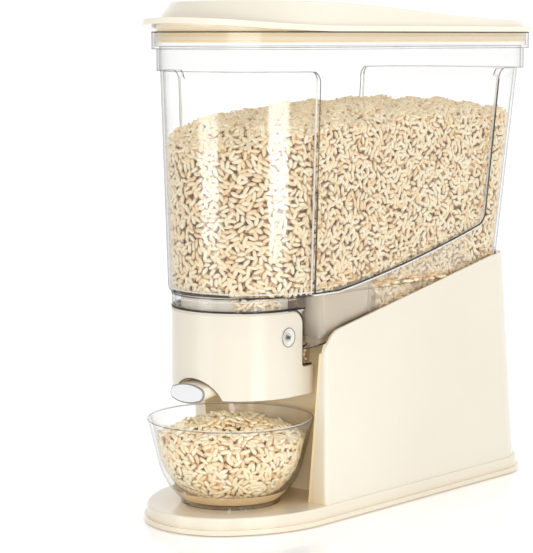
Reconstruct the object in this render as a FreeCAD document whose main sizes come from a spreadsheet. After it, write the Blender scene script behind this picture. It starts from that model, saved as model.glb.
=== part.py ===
import FreeCAD, Part
import Sketcher
import math
import os
from types import SimpleNamespace
from FreeCAD import Placement, Rotation, Vector

# Rice dispenser: a clear hopper with a sloping floor stands on a wedge-shaped tower.
# A sprung lever under the hopper's nose swings a curved gate, and grain falls into a glass bowl.
# Units are millimetres and degrees.  X is the width, -Y the front (spout and bowl), +Z is up.
# The origin is at floor level, at the middle of the whole part in X and Y.

SIZES = [
    # name, value, what it is
    ("front_edge", -197.7, "Y of the base plate's front edge, from which lengths are taken"),
    ("plate_half", 75.0, "half width of the base plate at its lip"),
    ("plate_length", 390.3, "length of the base plate"),
    ("plate_nose", 95.0, "length of the curved front of the base plate"),
    ("plate_nose_radius", 62.0, "radius of the very front of the base plate"),
    ("plate_corner", 44.0, "rear corner radius of the base plate"),
    ("plate_top", 13.7, "height of the base plate's top above the floor"),
    ("plate_lip", 3.6, "height of the lip round the base plate"),
    ("plate_step", 2.2, "how far the lip stands out from the plate's side"),
    ("plate_wall", 2.6, "side wall of the base plate"),
    ("plate_skin", 2.8, "top skin of the base plate"),
    ("plate_round", 1.6, "rounding of the plate's top edge"),
    ("rib_width", 2.0, "width of the ribs under the plate"),
    ("rib_pitch", 42.0, "spacing of the cross ribs"),
    ("rib_first", 112.0, "first cross rib, from the plate's front edge"),
    ("rib_count", 6, "number of cross ribs"),
    ("rib_gap", 1.2, "how far the ribs stop above the lip's underside"),
    ("foot_gap", 1.0, "gap that the rubber feet keep under the plate"),
    ("foot_radius", 7.0, "radius of a rubber foot"),
    ("foot_depth", 2.4, "how deep a foot sits in its socket"),
    ("socket_wall", 1.8, "wall of a foot's socket"),
    ("foot_front_x", 34.0, "X of the front feet"),
    ("foot_front_y", 42.0, "front feet, from the plate's front edge"),
    ("foot_rear_x", 52.0, "X of the rear feet"),
    ("foot_rear_y", 36.0, "rear feet, from the plate's rear edge"),
    ("tower_set", 103.6, "front faces of the tower, from the plate's front edge"),
    ("tower_length", 281.9, "length of the tower at its foot"),
    ("tower_half", 71.0, "half width of the tower at its foot"),
    ("tower_rise", 192.0, "height of the tower's drafted block"),
    ("tower_side_draft", 1.4, "how much narrower each side is at the block's top"),
    ("tower_rear_draft", 19.0, "how far the rear leans in at the block's top"),
    ("tower_corner", 42.0, "rear corner radius of the tower"),
    ("tower_front_corner", 3.0, "rounding of the tower's front upright edges"),
    ("tower_front_z", 147.7, "height of the sloping top line at the front faces"),
    ("tower_slope", 11.34, "slope of the tower's top line, in degrees"),
    ("tower_round", 20.0, "rounding where the front faces meet the top line"),
    ("tower_level", 222.0, "where the top line turns level towards the rear, behind the front faces"),
    ("tower_wall", 2.0, "wall of the tower"),
    ("boss_radius", 4.6, "radius of a screw boss in the tower"),
    ("boss_height", 14.0, "height of a screw boss"),
    ("boss_inset", 6.0, "screw centres, in from the tower's side at the foot"),
    ("boss_first", 46.0, "first pair of screws, behind the tower's front faces"),
    ("boss_pitch", 80.0, "spacing of the pairs of screws"),
    ("screw_radius", 1.5, "radius of a base screw"),
    ("screw_length", 12.0, "length of a base screw under its head"),
    ("screw_head", 3.2, "radius of a base screw's head"),
    ("screw_head_depth", 2.0, "height of a base screw's head"),
    ("bowl_radius", 65.5, "outer radius of the bowl's rim"),
    ("bowl_height", 66.8, "height of the bowl"),
    ("bowl_set", 70.7, "bowl centre, from the plate's front edge"),
    ("bowl_wall", 2.2, "wall of the bowl"),
    ("bowl_rim", 1.7, "radius of the rolled rim"),
    ("bowl_lip", 4.2, "how far below the rim the wall starts to thicken"),
    ("bowl_lip_step", 0.9, "how far the rolled rim stands out from the wall"),
    ("bowl_belly", 57.9, "outer radius where the straight wall meets the belly"),
    ("bowl_belly_z", 36.0, "height of that place above the bowl's foot"),
    ("bowl_curve", 55.0, "radius of the belly's curve"),
    ("bowl_foot", 39.0, "radius of the foot ring"),
    ("bowl_foot_height", 2.6, "height of the foot ring"),
    ("bowl_base", 5.0, "thickness of the bowl's base above its foot ring"),
    ("bowl_side_gap", 1.6, "gap between the bowl's rim and the bay's sides"),
    ("bowl_back_gap", 4.5, "gap between the bowl's rim and the bay's back"),
    ("bay_flare", 5.2, "how far the bay's sides lean outwards, in degrees"),
    ("bay_lean", 4.5, "how far the bay's back leans backwards, in degrees"),
    ("bay_corner", 24.0, "radius of the bay's rear corners"),
    ("bay_wall", 2.2, "wall of the bay's liner"),
    ("hopper_nose", 96.6, "centre of the hopper's round nose, from the plate's front edge"),
    ("hopper_foot_z", 178.0, "underside of the hopper's nose"),
    ("hopper_shoulder_z", 350.0, "height where the hopper's body meets its band"),
    ("hopper_half_low", 66.5, "half width of the hopper at the nose's underside"),
    ("hopper_half_high", 71.9, "half width of the hopper at the band"),
    ("hopper_rear_low", 162.3, "rear of the hopper at the nose's underside"),
    ("hopper_rear_high", 185.3, "rear of the hopper at the band"),
    ("hopper_corner", 42.0, "rear corner radius of the hopper"),
    ("hopper_wall", 2.2, "wall of the hopper"),
    ("hopper_round", 4.0, "rounding of the nose's lower edge"),
    ("panel_proud", 2.8, "how far the side panels and the band stand out"),
    ("panel_front", 91.0, "front edge of a side panel, from the plate's front edge"),
    ("panel_low_z", 180.8, "lower edge of a side panel at its front"),
    ("panel_flat", 29.8, "length of the level part of that lower edge"),
    ("panel_rise", 38.2, "how far the swept part of the lower edge rises"),
    ("panel_sweep", 1500.0, "radius of that sweep"),
    ("panel_sweep_end", 302.7, "lower end of the swept edge, from the plate's front edge"),
    ("panel_rear_high", 324.2, "rear edge of a side panel at its head, from the plate's front edge"),
    ("panel_corner", 13.0, "rounding of the panel's lower rear corner"),
    ("panel_corner_run", 9.5, "length of that rounded corner"),
    ("panel_corner_rise", 11.0, "height of that rounded corner"),
    ("panel_flare", 9.0, "radius where the panel's edges sweep into the band"),
    ("band_top_z", 366.6, "top of the hopper's band"),
    ("band_rear", 192.7, "rear of the band"),
    ("rim_top_z", 380.0, "top of the hopper's rim"),
    ("rim_half", 77.5, "half width of the rim"),
    ("rim_rear", 196.2, "rear of the rim"),
    ("rim_shift", 1.5, "how far the rim's nose reaches past the body's"),
    ("rim_wall", 2.4, "wall of the rim"),
    ("chute_front", 97.5, "front wall of the hopper's lower part, from the plate's front edge"),
    ("chute_corner", 24.0, "front corner radius of the hopper's lower part"),
    ("chute_foot_z", 120.0, "height where the lower part's drafted block starts"),
    ("chute_draft", 1.8, "how much narrower each side of that block is at its foot"),
    ("chute_rear_draft", 7.8, "how far the rear of that block leans in at its foot"),
    ("throat_knee", 5.0, "bend in the throat's rear, above the front of the hopper's floor"),
    ("chute_drop", 5.0, "how far the hopper's floor lies below the tower's top line"),
    ("chute_bend", 35.0, "length of the steeper stretch of floor at the front"),
    ("chute_fall", 14.0, "how much that stretch falls"),
    ("deck_pad", 1.5, "thickness of the pads that carry the hopper"),
    ("deck_plate", 3.0, "thickness of the tower's deck"),
    ("deck_set", 42.4, "front edge of the deck, behind the tower's front faces"),
    ("deck_pad_x", 44.0, "X of the pads that carry the hopper"),
    ("deck_pad_width", 12.0, "width of such a pad"),
    ("deck_pad_length", 130.0, "length of such a pad"),
    ("rest_gap", 0.1, "gap between the hopper and what carries it"),
    ("spout_radius", 52.6, "outer radius and half width of the spout cover"),
    ("spout_set", 80.1, "centre of the spout, from the plate's front edge"),
    ("spout_height", 65.5, "height of the spout cover"),
    ("spout_wall", 2.4, "wall of the spout cover"),
    ("spout_rear_low", 28.1, "rear edge of the spout cover's skirt, behind the spout's centre"),
    ("spout_rear_high", 15.4, "rear edge of the upper part, behind the spout's centre"),
    ("spout_notch", 22.0, "height of the spout cover's rear skirt"),
    ("spout_round", 10.0, "rounding of the cover's upper rear corner"),
    ("neck_height", 10.7, "height of the clear neck between hopper and spout cover"),
    ("neck_inset", 0.4, "how far the neck lies inside the spout cover's radius"),
    ("gasket_height", 1.8, "thickness of the neck's gasket"),
    ("arch_half", 24.7, "half width of the arch that the lever comes through"),
    ("arch_height", 15.5, "height of that arch"),
    ("pivot_set", 1.3, "pivot of the lever, in front of the spout's centre"),
    ("pivot_drop", 18.6, "pivot of the lever, below the top of the spout cover"),
    ("pin_radius", 2.5, "radius of the pivot pins"),
    ("pin_fit", 0.06, "running clearance of the lever on the pins"),
    ("pin_inner", 37.2, "X of the pivot pins' inner ends"),
    ("pin_boss", 6.0, "radius of the bosses that hold the pins"),
    ("cap_radius", 7.6, "radius of the caps over the pins"),
    ("cap_seat", 1.0, "depth of the seats of those caps"),
    ("cap_height", 1.6, "thickness of the caps"),
    ("cap_dish", 0.8, "depth of the dish in a cap"),
    ("throat_half", 34.0, "half width inside the outlet funnel"),
    ("throat_wall", 2.2, "wall of the outlet funnel"),
    ("throat_front", 31.0, "front of the funnel's mouth, in front of the pivot"),
    ("slot_front", 17.3, "front of the outlet slot, in front of the pivot"),
    ("slot_length", 15.0, "length of the outlet slot"),
    ("funnel_plate", 2.4, "thickness of the funnel's top plate"),
    ("gate_radius", 33.0, "inner radius of the gate about the pivot"),
    ("gate_wall", 2.0, "thickness of the gate"),
    ("gate_gap", 0.4, "gap between the outlet slot and the gate"),
    ("gate_front", 33.5, "front edge of the gate, in degrees before straight down"),
    ("gate_rear", 6.0, "rear edge of the gate, in degrees past straight down"),
    ("arm_wall", 3.0, "thickness of the gate's side arms"),
    ("arm_gap", 1.3, "gap between the side arms and the funnel"),
    ("hub_radius", 8.4, "radius of the side arms' hubs"),
    ("tongue_half", 16.2, "half width of the tongue's root"),
    ("tongue_root_rise", 7.0, "half height of the tongue's root, along the pad's face"),
    ("tongue_root_end", 5.0, "radius of the root's narrow ends"),
    ("tongue_shift", 10.6, "middle of the root, behind the pad's middle along the pad's face"),
    ("tongue_depth", 30.0, "root of the tongue, under the pad's face"),
    ("tongue_heel", 20.0, "rear of the tongue's foot on the gate, in degrees before straight down"),
    ("pad_reach", 58.4, "middle of the push pad, in front of the pivot"),
    ("pad_drop", 41.9, "middle of the push pad, below the pivot"),
    ("pad_tilt", 80.0, "tilt of the pad's face towards the front, in degrees"),
    ("pad_half", 16.4, "half width of the push pad"),
    ("pad_rise", 6.5, "half height of the push pad along its face"),
    ("pad_end", 4.4, "radius of the pad's narrow ends"),
    ("pad_ring", 1.1, "width of the ring round the push pad"),
    ("pad_height", 2.0, "thickness of the push pad"),
    ("pad_ring_height", 1.2, "thickness of the ring round the pad"),
    ("coil_radius", 7.4, "mean radius of the return spring"),
    ("coil_wire", 0.55, "wire radius of the return spring"),
    ("coil_pitch", 1.25, "pitch of the return spring"),
    ("coil_turns", 4.0, "turns of the return spring"),
    ("coil_start", 41.9, "X where the return spring starts"),
    ("tip_half", 49.4, "half width of the clear outlet tip"),
    ("tip_length", 11.8, "length of the clear outlet tip"),
    ("tip_bottom", 12.6, "underside of the tip, below the front of the hopper's floor"),
    ("tip_wall", 1.8, "wall of the clear outlet tip"),
    ("lid_gap", 0.3, "gap between the hopper's rim and the lid"),
    ("lid_half", 79.0, "half width of the lid's flange"),
    ("lid_front", 4.1, "front edge of the lid, from the plate's front edge"),
    ("lid_nose_extra", 12.0, "curved front of the lid, longer than its half width"),
    ("lid_nose_ease", 9.0, "radius of the very front of the lid, less than its half width"),
    ("lid_rear", 197.7, "rear edge of the lid"),
    ("lid_corner", 44.0, "rear corner radius of the lid"),
    ("lid_flange", 4.4, "thickness of the lid's flange"),
    ("lid_lift", 6.0, "how far the flange rises at its front edge"),
    ("lid_lift_start", 12.4, "where that rise starts, behind the hopper nose's centre"),
    ("lid_crown", 18.7, "height of the lid's crown above the flange"),
    ("lid_crown_length", 22.7, "length of the level crown, from the front of the dome"),
    ("lid_crown_set", 50.9, "front of the level crown, from the lid's front edge"),
    ("lid_bend", 100.0, "length of the stretch where the crown bends down"),
    ("lid_bend_fall", 3.4, "how much that stretch falls"),
    ("lid_fall_length", 80.0, "length of the straight stretch behind it"),
    ("dome_inset", 4.6, "dome's foot, in from the flange's side"),
    ("dome_front", 10.0, "dome's foot, in from the flange's front edge"),
    ("dome_side", 9.0, "how far the dome's sides lean in"),
    ("dome_front_lean", 15.0, "how far the dome's front leans in"),
    ("dome_round", 3.6, "rounding of the dome's top edge"),
    ("lid_wall", 2.2, "wall of the lid's dome"),
    ("skirt_gap", 0.7, "gap between the lid's skirt and the hopper's rim"),
    ("skirt_wall", 2.0, "wall of the lid's skirt"),
    ("skirt_depth", 8.0, "how far the skirt reaches into the rim"),
    ("seal_height", 2.6, "height of the lid's seal"),
    ("seal_gap", 0.25, "gap between the seal and the hopper's rim"),
    ("seal_rise", 2.0, "seal's underside above the skirt's lower edge"),
    ("through", 600.0, "length of cuts that go right through"),
]

doc = FreeCAD.newDocument("rice_dispenser")
sheet = doc.addObject("Spreadsheet::Sheet", "Sizes")


class Size:
    """A number with the expression that it comes from, so that what uses it stays bound."""

    def __init__(self, value, text):
        self.value = value
        self.text = text

    @staticmethod
    def of(other):
        return other if isinstance(other, Size) else Size(float(other), repr(float(other)))

    def __add__(self, other):
        other = Size.of(other)
        return Size(self.value + other.value, f"({self.text} + {other.text})")

    def __sub__(self, other):
        other = Size.of(other)
        return Size(self.value - other.value, f"({self.text} - {other.text})")

    def __mul__(self, other):
        other = Size.of(other)
        return Size(self.value * other.value, f"({self.text} * {other.text})")

    def __truediv__(self, other):
        other = Size.of(other)
        return Size(self.value / other.value, f"({self.text} / {other.text})")

    def __rsub__(self, other):
        return Size.of(other) - self

    def __neg__(self):
        return Size(-self.value, f"(0 - {self.text})")

    __radd__ = __add__
    __rmul__ = __mul__


def sine(angle):
    return Size(math.sin(math.radians(angle.value)), f"sin({angle.text} * 1 deg)")


def cosine(angle):
    return Size(math.cos(math.radians(angle.value)), f"cos({angle.text} * 1 deg)")


def tangent(angle):
    return Size(math.tan(math.radians(angle.value)), f"tan({angle.text} * 1 deg)")


def root(size):
    return Size(math.sqrt(size.value), f"sqrt({size.text})")


def fill_sheet():
    named = {}
    for row, (name, value, meaning) in enumerate(SIZES, start=1):
        sheet.set(f"A{row}", name)
        sheet.set(f"B{row}", str(value))
        sheet.set(f"C{row}", meaning)
        sheet.setAlias(f"B{row}", name)
        named[name] = Size(float(value), f"Sizes.{name}")
    doc.recompute()
    return SimpleNamespace(**named)


s = fill_sheet()
NOTHING = Size.of(0)


# ---- sketches and features ------------------------------------------------------------------

def bind(item, prop, size):
    item.setExpression(prop, Size.of(size).text)


def new_body(name):
    body = doc.addObject("PartDesign::Body", name)
    body.Label = name
    return body


def origin_feature(body, role):
    return next(item for item in body.Origin.OriginFeatures if item.Role == role)


def new_sketch(body, name, role="XY_Plane", offset=NOTHING):
    """A sketch on one of the body's own planes, moved along that plane's normal."""
    sketch = body.newObject("Sketcher::SketchObject", name)
    sketch.AttachmentSupport = [(origin_feature(body, role), "")]
    sketch.MapMode = "FlatFace"
    bind(sketch, "AttachmentOffset.Base.z", offset)
    return sketch


def fix_point(sketch, geometry, position, point):
    """Ties one point of the sketch to its two coordinates."""
    for kind, size in (("DistanceX", point[0]), ("DistanceY", point[1])):
        index = sketch.addConstraint(Sketcher.Constraint(kind, -1, 1, geometry, position, size.value))
        bind(sketch, f"Constraints[{index}]", size)


def arc_centre(start, end, arc):
    """Centre of an arc: given by its radius and side, or by the centre's own Y."""
    (ax, ay), (bx, by) = [(p[0].value, p[1].value) for p in (start, end)]
    if arc[0] == "centre_y":
        cy = arc[1].value
        cx = (ax * ax - bx * bx + (ay - cy) ** 2 - (by - cy) ** 2) / (2 * (ax - bx))
        return cx, cy
    radius, side = arc[1].value, arc[2]
    chord = math.hypot(bx - ax, by - ay)
    rise = math.sqrt(max(radius * radius - chord * chord / 4, 0))
    return (ax + bx) / 2 - side * rise * (by - ay) / chord, (ay + by) / 2 + side * rise * (bx - ax) / chord


def add_outline(sketch, points, arcs=None):
    """A closed outline through the points.

    arcs maps an edge's number to ("radius", size, side), where side is +1 for a centre to the
    left of the way from point to point and -1 to the right, or to ("centre_y", size).
    """
    arcs = arcs or {}
    for number, start in enumerate(points):
        end = points[(number + 1) % len(points)]
        if number not in arcs:
            line = Part.LineSegment(*[Vector(p[0].value, p[1].value, 0) for p in (start, end)])
            index = sketch.addGeometry(line, False)
            fix_point(sketch, index, 1, start)
            fix_point(sketch, index, 2, end)
            continue
        arc = arcs[number]
        cx, cy = arc_centre(start, end, arc)
        angles = [math.atan2(p[1].value - cy, p[0].value - cx) for p in (start, end)]
        radius = math.hypot(start[0].value - cx, start[1].value - cy)
        forward = arc[0] == "centre_y" or arc[2] > 0
        first, last = angles if forward else angles[::-1]
        circle = Part.Circle(Vector(cx, cy, 0), Vector(0, 0, 1), radius)
        index = sketch.addGeometry(Part.ArcOfCircle(circle, first, last), False)
        fix_point(sketch, index, 1 if forward else 2, start)
        fix_point(sketch, index, 2 if forward else 1, end)
        if arc[0] == "centre_y":
            extra = sketch.addConstraint(Sketcher.Constraint("DistanceY", -1, 1, index, 3, cy))
        else:
            extra = sketch.addConstraint(Sketcher.Constraint("Radius", index, radius))
        bind(sketch, f"Constraints[{extra}]", arc[1])
    return sketch


def add_circle(sketch, centre, radius):
    shape = Part.Circle(Vector(centre[0].value, centre[1].value, 0), Vector(0, 0, 1), radius.value)
    index = sketch.addGeometry(shape, False)
    fix_point(sketch, index, 3, centre)
    extra = sketch.addConstraint(Sketcher.Constraint("Radius", index, radius.value))
    bind(sketch, f"Constraints[{extra}]", radius)
    return sketch


def add_box(sketch, left, right, low, high):
    return add_outline(sketch, [(left, low), (right, low), (right, high), (left, high)])


def pad(body, name, sketch, length, both=False):
    feature = body.newObject("PartDesign::Pad", name)
    feature.Profile = sketch
    bind(feature, "Length", length)
    feature.Midplane = both
    sketch.Visibility = False
    return feature


def pocket(body, name, sketch, length, both=False, upward=False):
    feature = body.newObject("PartDesign::Pocket", name)
    feature.Profile = sketch
    bind(feature, "Length", length)
    feature.Midplane = both
    feature.Reversed = upward
    sketch.Visibility = False
    return feature


def loft(body, name, low, high, cut=False):
    kind = "PartDesign::SubtractiveLoft" if cut else "PartDesign::AdditiveLoft"
    feature = body.newObject(kind, name)
    feature.Profile = low
    feature.Sections = [high]
    feature.Ruled = True
    return feature


def edges_where(feature, test):
    return [f"Edge{n}" for n, edge in enumerate(feature.Shape.Edges, start=1) if test(edge)]


def fillet(body, name, test, radius):
    """Rounds the edges of the body's last feature that pass the test."""
    doc.recompute()
    base = body.Tip
    feature = body.newObject("PartDesign::Fillet", name)
    feature.Base = (base, edges_where(base, test))
    bind(feature, "Radius", radius)
    return feature


def combine(kind, name, *items):
    """A Part boolean of whole bodies: Cut takes two, MultiFuse and MultiCommon take any number."""
    feature = doc.addObject(f"Part::{kind}", name)
    feature.Label = name
    if kind == "Cut":
        feature.Base, feature.Tool = items
    else:
        feature.Shapes = list(items)
    for item in items:
        item.Visibility = False
    return feature


# ---- plans: outlines seen from above ----------------------------------------------------------

def nose_plan(sketch, half, nose, rear, corner):
    """Half circle at the front about nose, straight sides, two rounded rear corners."""
    points = [(-half, nose), (half, nose), (half, rear - corner), (half - corner, rear),
              (corner - half, rear), (-half, rear - corner)]
    arcs = {0: ("centre_y", nose), 2: ("radius", corner, 1), 4: ("radius", corner, 1)}
    return add_outline(sketch, points, arcs)


def block_plan(sketch, half, front, rear, front_corner, rear_corner):
    """Straight front and rear with rounded corners."""
    points = [(front_corner - half, front), (half - front_corner, front), (half, front + front_corner),
              (half, rear - rear_corner), (half - rear_corner, rear), (rear_corner - half, rear),
              (-half, rear - rear_corner), (-half, front + front_corner)]
    arcs = {1: ("radius", front_corner, 1), 3: ("radius", rear_corner, 1),
            5: ("radius", rear_corner, 1), 7: ("radius", front_corner, 1)}
    return add_outline(sketch, points, arcs)


def oval_plan(sketch, half, front, length, nose_radius, rear, corner):
    """A front of three tangent arcs, straight sides, two rounded rear corners."""
    reach = length - nose_radius
    side_radius = (half * half + reach * reach - nose_radius * nose_radius) / ((half - nose_radius) * 2)
    share = nose_radius / (side_radius - nose_radius)
    join_x = share * (side_radius - half)
    join_y = front + nose_radius - share * reach
    start = front + length
    points = [(-half, start), (-join_x, join_y), (join_x, join_y), (half, start),
              (half, rear - corner), (half - corner, rear), (corner - half, rear), (-half, rear - corner)]
    arcs = {0: ("radius", side_radius, 1), 1: ("radius", nose_radius, 1), 2: ("radius", side_radius, 1),
            4: ("radius", corner, 1), 6: ("radius", corner, 1)}
    return add_outline(sketch, points, arcs)


def bay_plan(sketch, half, front, back, corner):
    """A bay open to the front: straight sides and two rounded rear corners."""
    points = [(-half, front), (half, front), (half, back - corner), (half - corner, back),
              (corner - half, back), (-half, back - corner)]
    return add_outline(sketch, points, {2: ("radius", corner, 1), 4: ("radius", corner, 1)})


def arch_plan(sketch, half, nose, rear):
    """Half circle at the front about nose and straight sides to a straight rear."""
    points = [(-half, nose), (half, nose), (half, rear), (-half, rear)]
    return add_outline(sketch, points, {0: ("centre_y", nose)})


def pad_plan(sketch, half, rise, end, middle=NOTHING):
    """An oval of four tangent arcs about a middle on the upright axis."""
    side = ((half - end) * (half - end) + rise * rise - end * end) / ((rise - end) * 2)
    join_x = (half - end) * side / (side - end)
    join_y = end * (side - rise) / (side - end)
    low, high = middle - join_y, middle + join_y
    points = [(-join_x, low), (join_x, low), (join_x, high), (-join_x, high)]
    arcs = {0: ("radius", side, 1), 1: ("radius", end, 1), 2: ("radius", side, 1), 3: ("radius", end, 1)}
    return add_outline(sketch, points, arcs)


# ---- places that several pieces share -----------------------------------------------------------

PLATE_REAR = s.front_edge + s.plate_length
TOWER_FRONT = s.front_edge + s.tower_set
TOWER_REAR = TOWER_FRONT + s.tower_length
TOWER_TOP = s.plate_top + s.tower_rise
BOWL_Y = s.front_edge + s.bowl_set
NOSE_Y = s.front_edge + s.hopper_nose
CHUTE_FRONT = s.front_edge + s.chute_front
SPOUT_Y = s.front_edge + s.spout_set
NECK_BOTTOM = s.hopper_foot_z - s.neck_height
SPOUT_TOP = NECK_BOTTOM - s.gasket_height
SPOUT_BOTTOM = SPOUT_TOP - s.spout_height
PIVOT_Y = SPOUT_Y - s.pivot_set
PIVOT_Z = SPOUT_TOP - s.pivot_drop
SLOPE = tangent(s.tower_slope)


def top_line(y):
    """Height of the tower's sloping top edge at y."""
    return s.tower_front_z + (y - TOWER_FRONT) * SLOPE


LEVEL_Y = TOWER_FRONT + s.tower_level
LEVEL_TOP = [(LEVEL_Y, top_line(LEVEL_Y)), (TOWER_REAR + s.tower_corner, top_line(LEVEL_Y))]
FLOOR_KNEE_Y = CHUTE_FRONT + s.chute_bend
FLOOR_KNEE_Z = top_line(FLOOR_KNEE_Y) - s.chute_drop
FLOOR_FRONT_Z = FLOOR_KNEE_Z - s.chute_fall


def floor_line(shift):
    """Three points of the hopper's underside, moved up or down by shift."""
    before = s.chute_front / 2
    end = TOWER_REAR + s.tower_corner
    return [(CHUTE_FRONT - before, FLOOR_FRONT_Z - before * s.chute_fall / s.chute_bend + shift),
            (FLOOR_KNEE_Y, FLOOR_KNEE_Z + shift),
            (end, top_line(end) - s.chute_drop + shift)]


def cut_below(body, name, points):
    """Takes away all that lies under a line seen from the side."""
    first, last = points[0], points[-1]
    profile = points + [(last[0], -s.through), (first[0], -s.through)]
    return pocket(body, name, add_outline(new_sketch(body, name + "_line", "YZ_Plane"), profile),
                  s.through, both=True)


def cut_above(body, name, points, arcs=None):
    """Takes away all that lies over a line seen from the side."""
    first, last = points[0], points[-1]
    profile = points + [(last[0], s.through), (first[0], s.through)]
    return pocket(body, name, add_outline(new_sketch(body, name + "_line", "YZ_Plane"), profile, arcs),
                  s.through, both=True)


def place(item, x=NOTHING, y=NOTHING, z=NOTHING, axis=None, angle=NOTHING):
    """Gives a piece a position and a turn that follow the sizes."""
    turn = Rotation(axis, angle.value) if axis else Rotation()
    item.Placement = Placement(Vector(x.value, y.value, z.value), turn)
    for letter, size in (("x", x), ("y", y), ("z", z)):
        bind(item, f"Placement.Base.{letter}", size)
    if axis:
        bind(item, "Placement.Rotation.Angle", angle)
    return item


def disc(body, name, centre, radius, start, length, role="XY_Plane"):
    return pad(body, name, add_circle(new_sketch(body, name + "_circle", role, start), centre, radius), length)


def bore(body, name, centre, radius, start, length, role="XY_Plane", upward=True):
    circle = add_circle(new_sketch(body, name + "_circle", role, start), centre, radius)
    return pocket(body, name, circle, length, upward=upward)


def revolve(body, name, points, arcs=None, axis="V_Axis"):
    """Turns an outline about its sketch's own upright axis."""
    sketch = add_outline(new_sketch(body, name + "_profile", "XZ_Plane"), points, arcs)
    feature = body.newObject("PartDesign::Revolution", name)
    feature.Profile = sketch
    feature.ReferenceAxis = (sketch, [axis])
    feature.Angle = 360.0
    return feature


# ---- stand: base plate, feet, tower, bay, deck ----------------------------------------------------

def plate_outline(body, name, inset, start):
    return oval_plan(new_sketch(body, name, offset=start), s.plate_half - inset, s.front_edge + inset,
                     s.plate_nose - inset, s.plate_nose_radius - inset, PLATE_REAR - inset,
                     s.plate_corner - inset)


FEET = {"foot_front_left": (-s.foot_front_x, s.front_edge + s.foot_front_y),
        "foot_front_right": (s.foot_front_x, s.front_edge + s.foot_front_y),
        "foot_rear_left": (-s.foot_rear_x, PLATE_REAR - s.foot_rear_y),
        "foot_rear_right": (s.foot_rear_x, PLATE_REAR - s.foot_rear_y)}

SCREW_X = s.tower_half - s.boss_inset
SCREWS = {}
for row in range(3):
    row_y = TOWER_FRONT + s.boss_first + s.boss_pitch * row
    SCREWS[f"base_screw_left_{row + 1}"] = (-SCREW_X, row_y)
    SCREWS[f"base_screw_right_{row + 1}"] = (SCREW_X, row_y)


def make_base_plate():
    body = new_body("base_plate")
    hollow = s.plate_step + s.plate_wall
    under_skin = s.plate_top - s.plate_skin
    pad(body, "plate_block", plate_outline(body, "plate_block_plan", s.plate_step, s.foot_gap),
        s.plate_top - s.foot_gap)
    top_edges = lambda edge: abs(edge.BoundBox.ZMin - s.plate_top.value) < 0.01
    fillet(body, "plate_rounding", top_edges, s.plate_round)
    pad(body, "plate_lip_band", plate_outline(body, "plate_lip_plan", NOTHING, s.foot_gap), s.plate_lip)
    pocket(body, "plate_hollow", plate_outline(body, "plate_hollow_plan", hollow, s.foot_gap),
           under_skin - s.foot_gap, upward=True)

    # long ribs from wall to wall, and cross ribs as a pattern
    rib_start = s.foot_gap + s.rib_gap
    mid_wall = s.plate_step + s.plate_wall / 2
    reach = s.plate_nose_radius - mid_wall
    rib_x = s.foot_front_x / 2
    rib_front = s.front_edge + s.plate_nose_radius - root(reach * reach - rib_x * rib_x)
    long_ribs = new_sketch(body, "long_rib_plan", offset=rib_start)
    for side in (-1, 1):
        add_box(long_ribs, rib_x * side - s.rib_width / 2, rib_x * side + s.rib_width / 2,
                rib_front, PLATE_REAR - mid_wall)
    pad(body, "long_ribs", long_ribs, under_skin - rib_start)
    cross = new_sketch(body, "cross_rib_plan", offset=rib_start)
    rib_y = s.front_edge + s.rib_first
    add_box(cross, mid_wall - s.plate_half, s.plate_half - mid_wall, rib_y, rib_y + s.rib_width)
    first_rib = pad(body, "cross_rib", cross, under_skin - rib_start)
    body.Tip = first_rib
    pattern = body.newObject("PartDesign::LinearPattern", "cross_ribs")
    pattern.Originals = [first_rib]
    pattern.Direction = (origin_feature(body, "Y_Axis"), [""])
    bind(pattern, "Length", s.rib_pitch * (s.rib_count - 1))
    bind(pattern, "Occurrences", s.rib_count)
    body.Tip = pattern

    # sockets for the feet and seats for the screws
    sockets = new_sketch(body, "socket_plan", offset=s.foot_gap)
    for centre in FEET.values():
        add_circle(sockets, centre, s.foot_radius + s.socket_wall)
    pad(body, "sockets", sockets, under_skin - s.foot_gap)
    recesses = new_sketch(body, "recess_plan", offset=s.foot_gap)
    for centre in FEET.values():
        add_circle(recesses, centre, s.foot_radius)
    pocket(body, "recesses", recesses, s.foot_depth, upward=True)
    holes = new_sketch(body, "screw_hole_plan", offset=under_skin)
    for centre in SCREWS.values():
        add_circle(holes, centre, s.screw_radius)
    pocket(body, "screw_holes", holes, s.plate_skin, upward=True)


def make_foot(name, centre):
    body = new_body(name)
    edge = s.foot_gap / 2
    top = s.foot_gap + s.foot_depth
    revolve(body, name + "_turned", [(NOTHING, NOTHING), (s.foot_radius - edge, NOTHING), (s.foot_radius, edge),
                                     (s.foot_radius, top), (NOTHING, top)])
    place(body, centre[0], centre[1])


def make_base_screw(name, centre):
    body = new_body(name)
    revolve(body, name + "_turned", [(NOTHING, -s.screw_head_depth), (s.screw_head, -s.screw_head_depth),
                                     (s.screw_head, NOTHING), (s.screw_radius, NOTHING),
                                     (s.screw_radius, s.screw_length), (NOTHING, s.screw_length)])
    place(body, centre[0], centre[1], s.plate_top - s.plate_skin)


def tower_loft(body, name, inset, corner, cut=False):
    low = block_plan(new_sketch(body, name + "_low", offset=s.plate_top), s.tower_half - inset,
                     TOWER_FRONT + inset, TOWER_REAR - inset, corner, s.tower_corner - inset)
    high = block_plan(new_sketch(body, name + "_high", offset=TOWER_TOP),
                      s.tower_half - s.tower_side_draft - inset, TOWER_FRONT + inset,
                      TOWER_REAR - s.tower_rear_draft - inset, corner, s.tower_corner - inset)
    return loft(body, name, low, high, cut)


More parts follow.
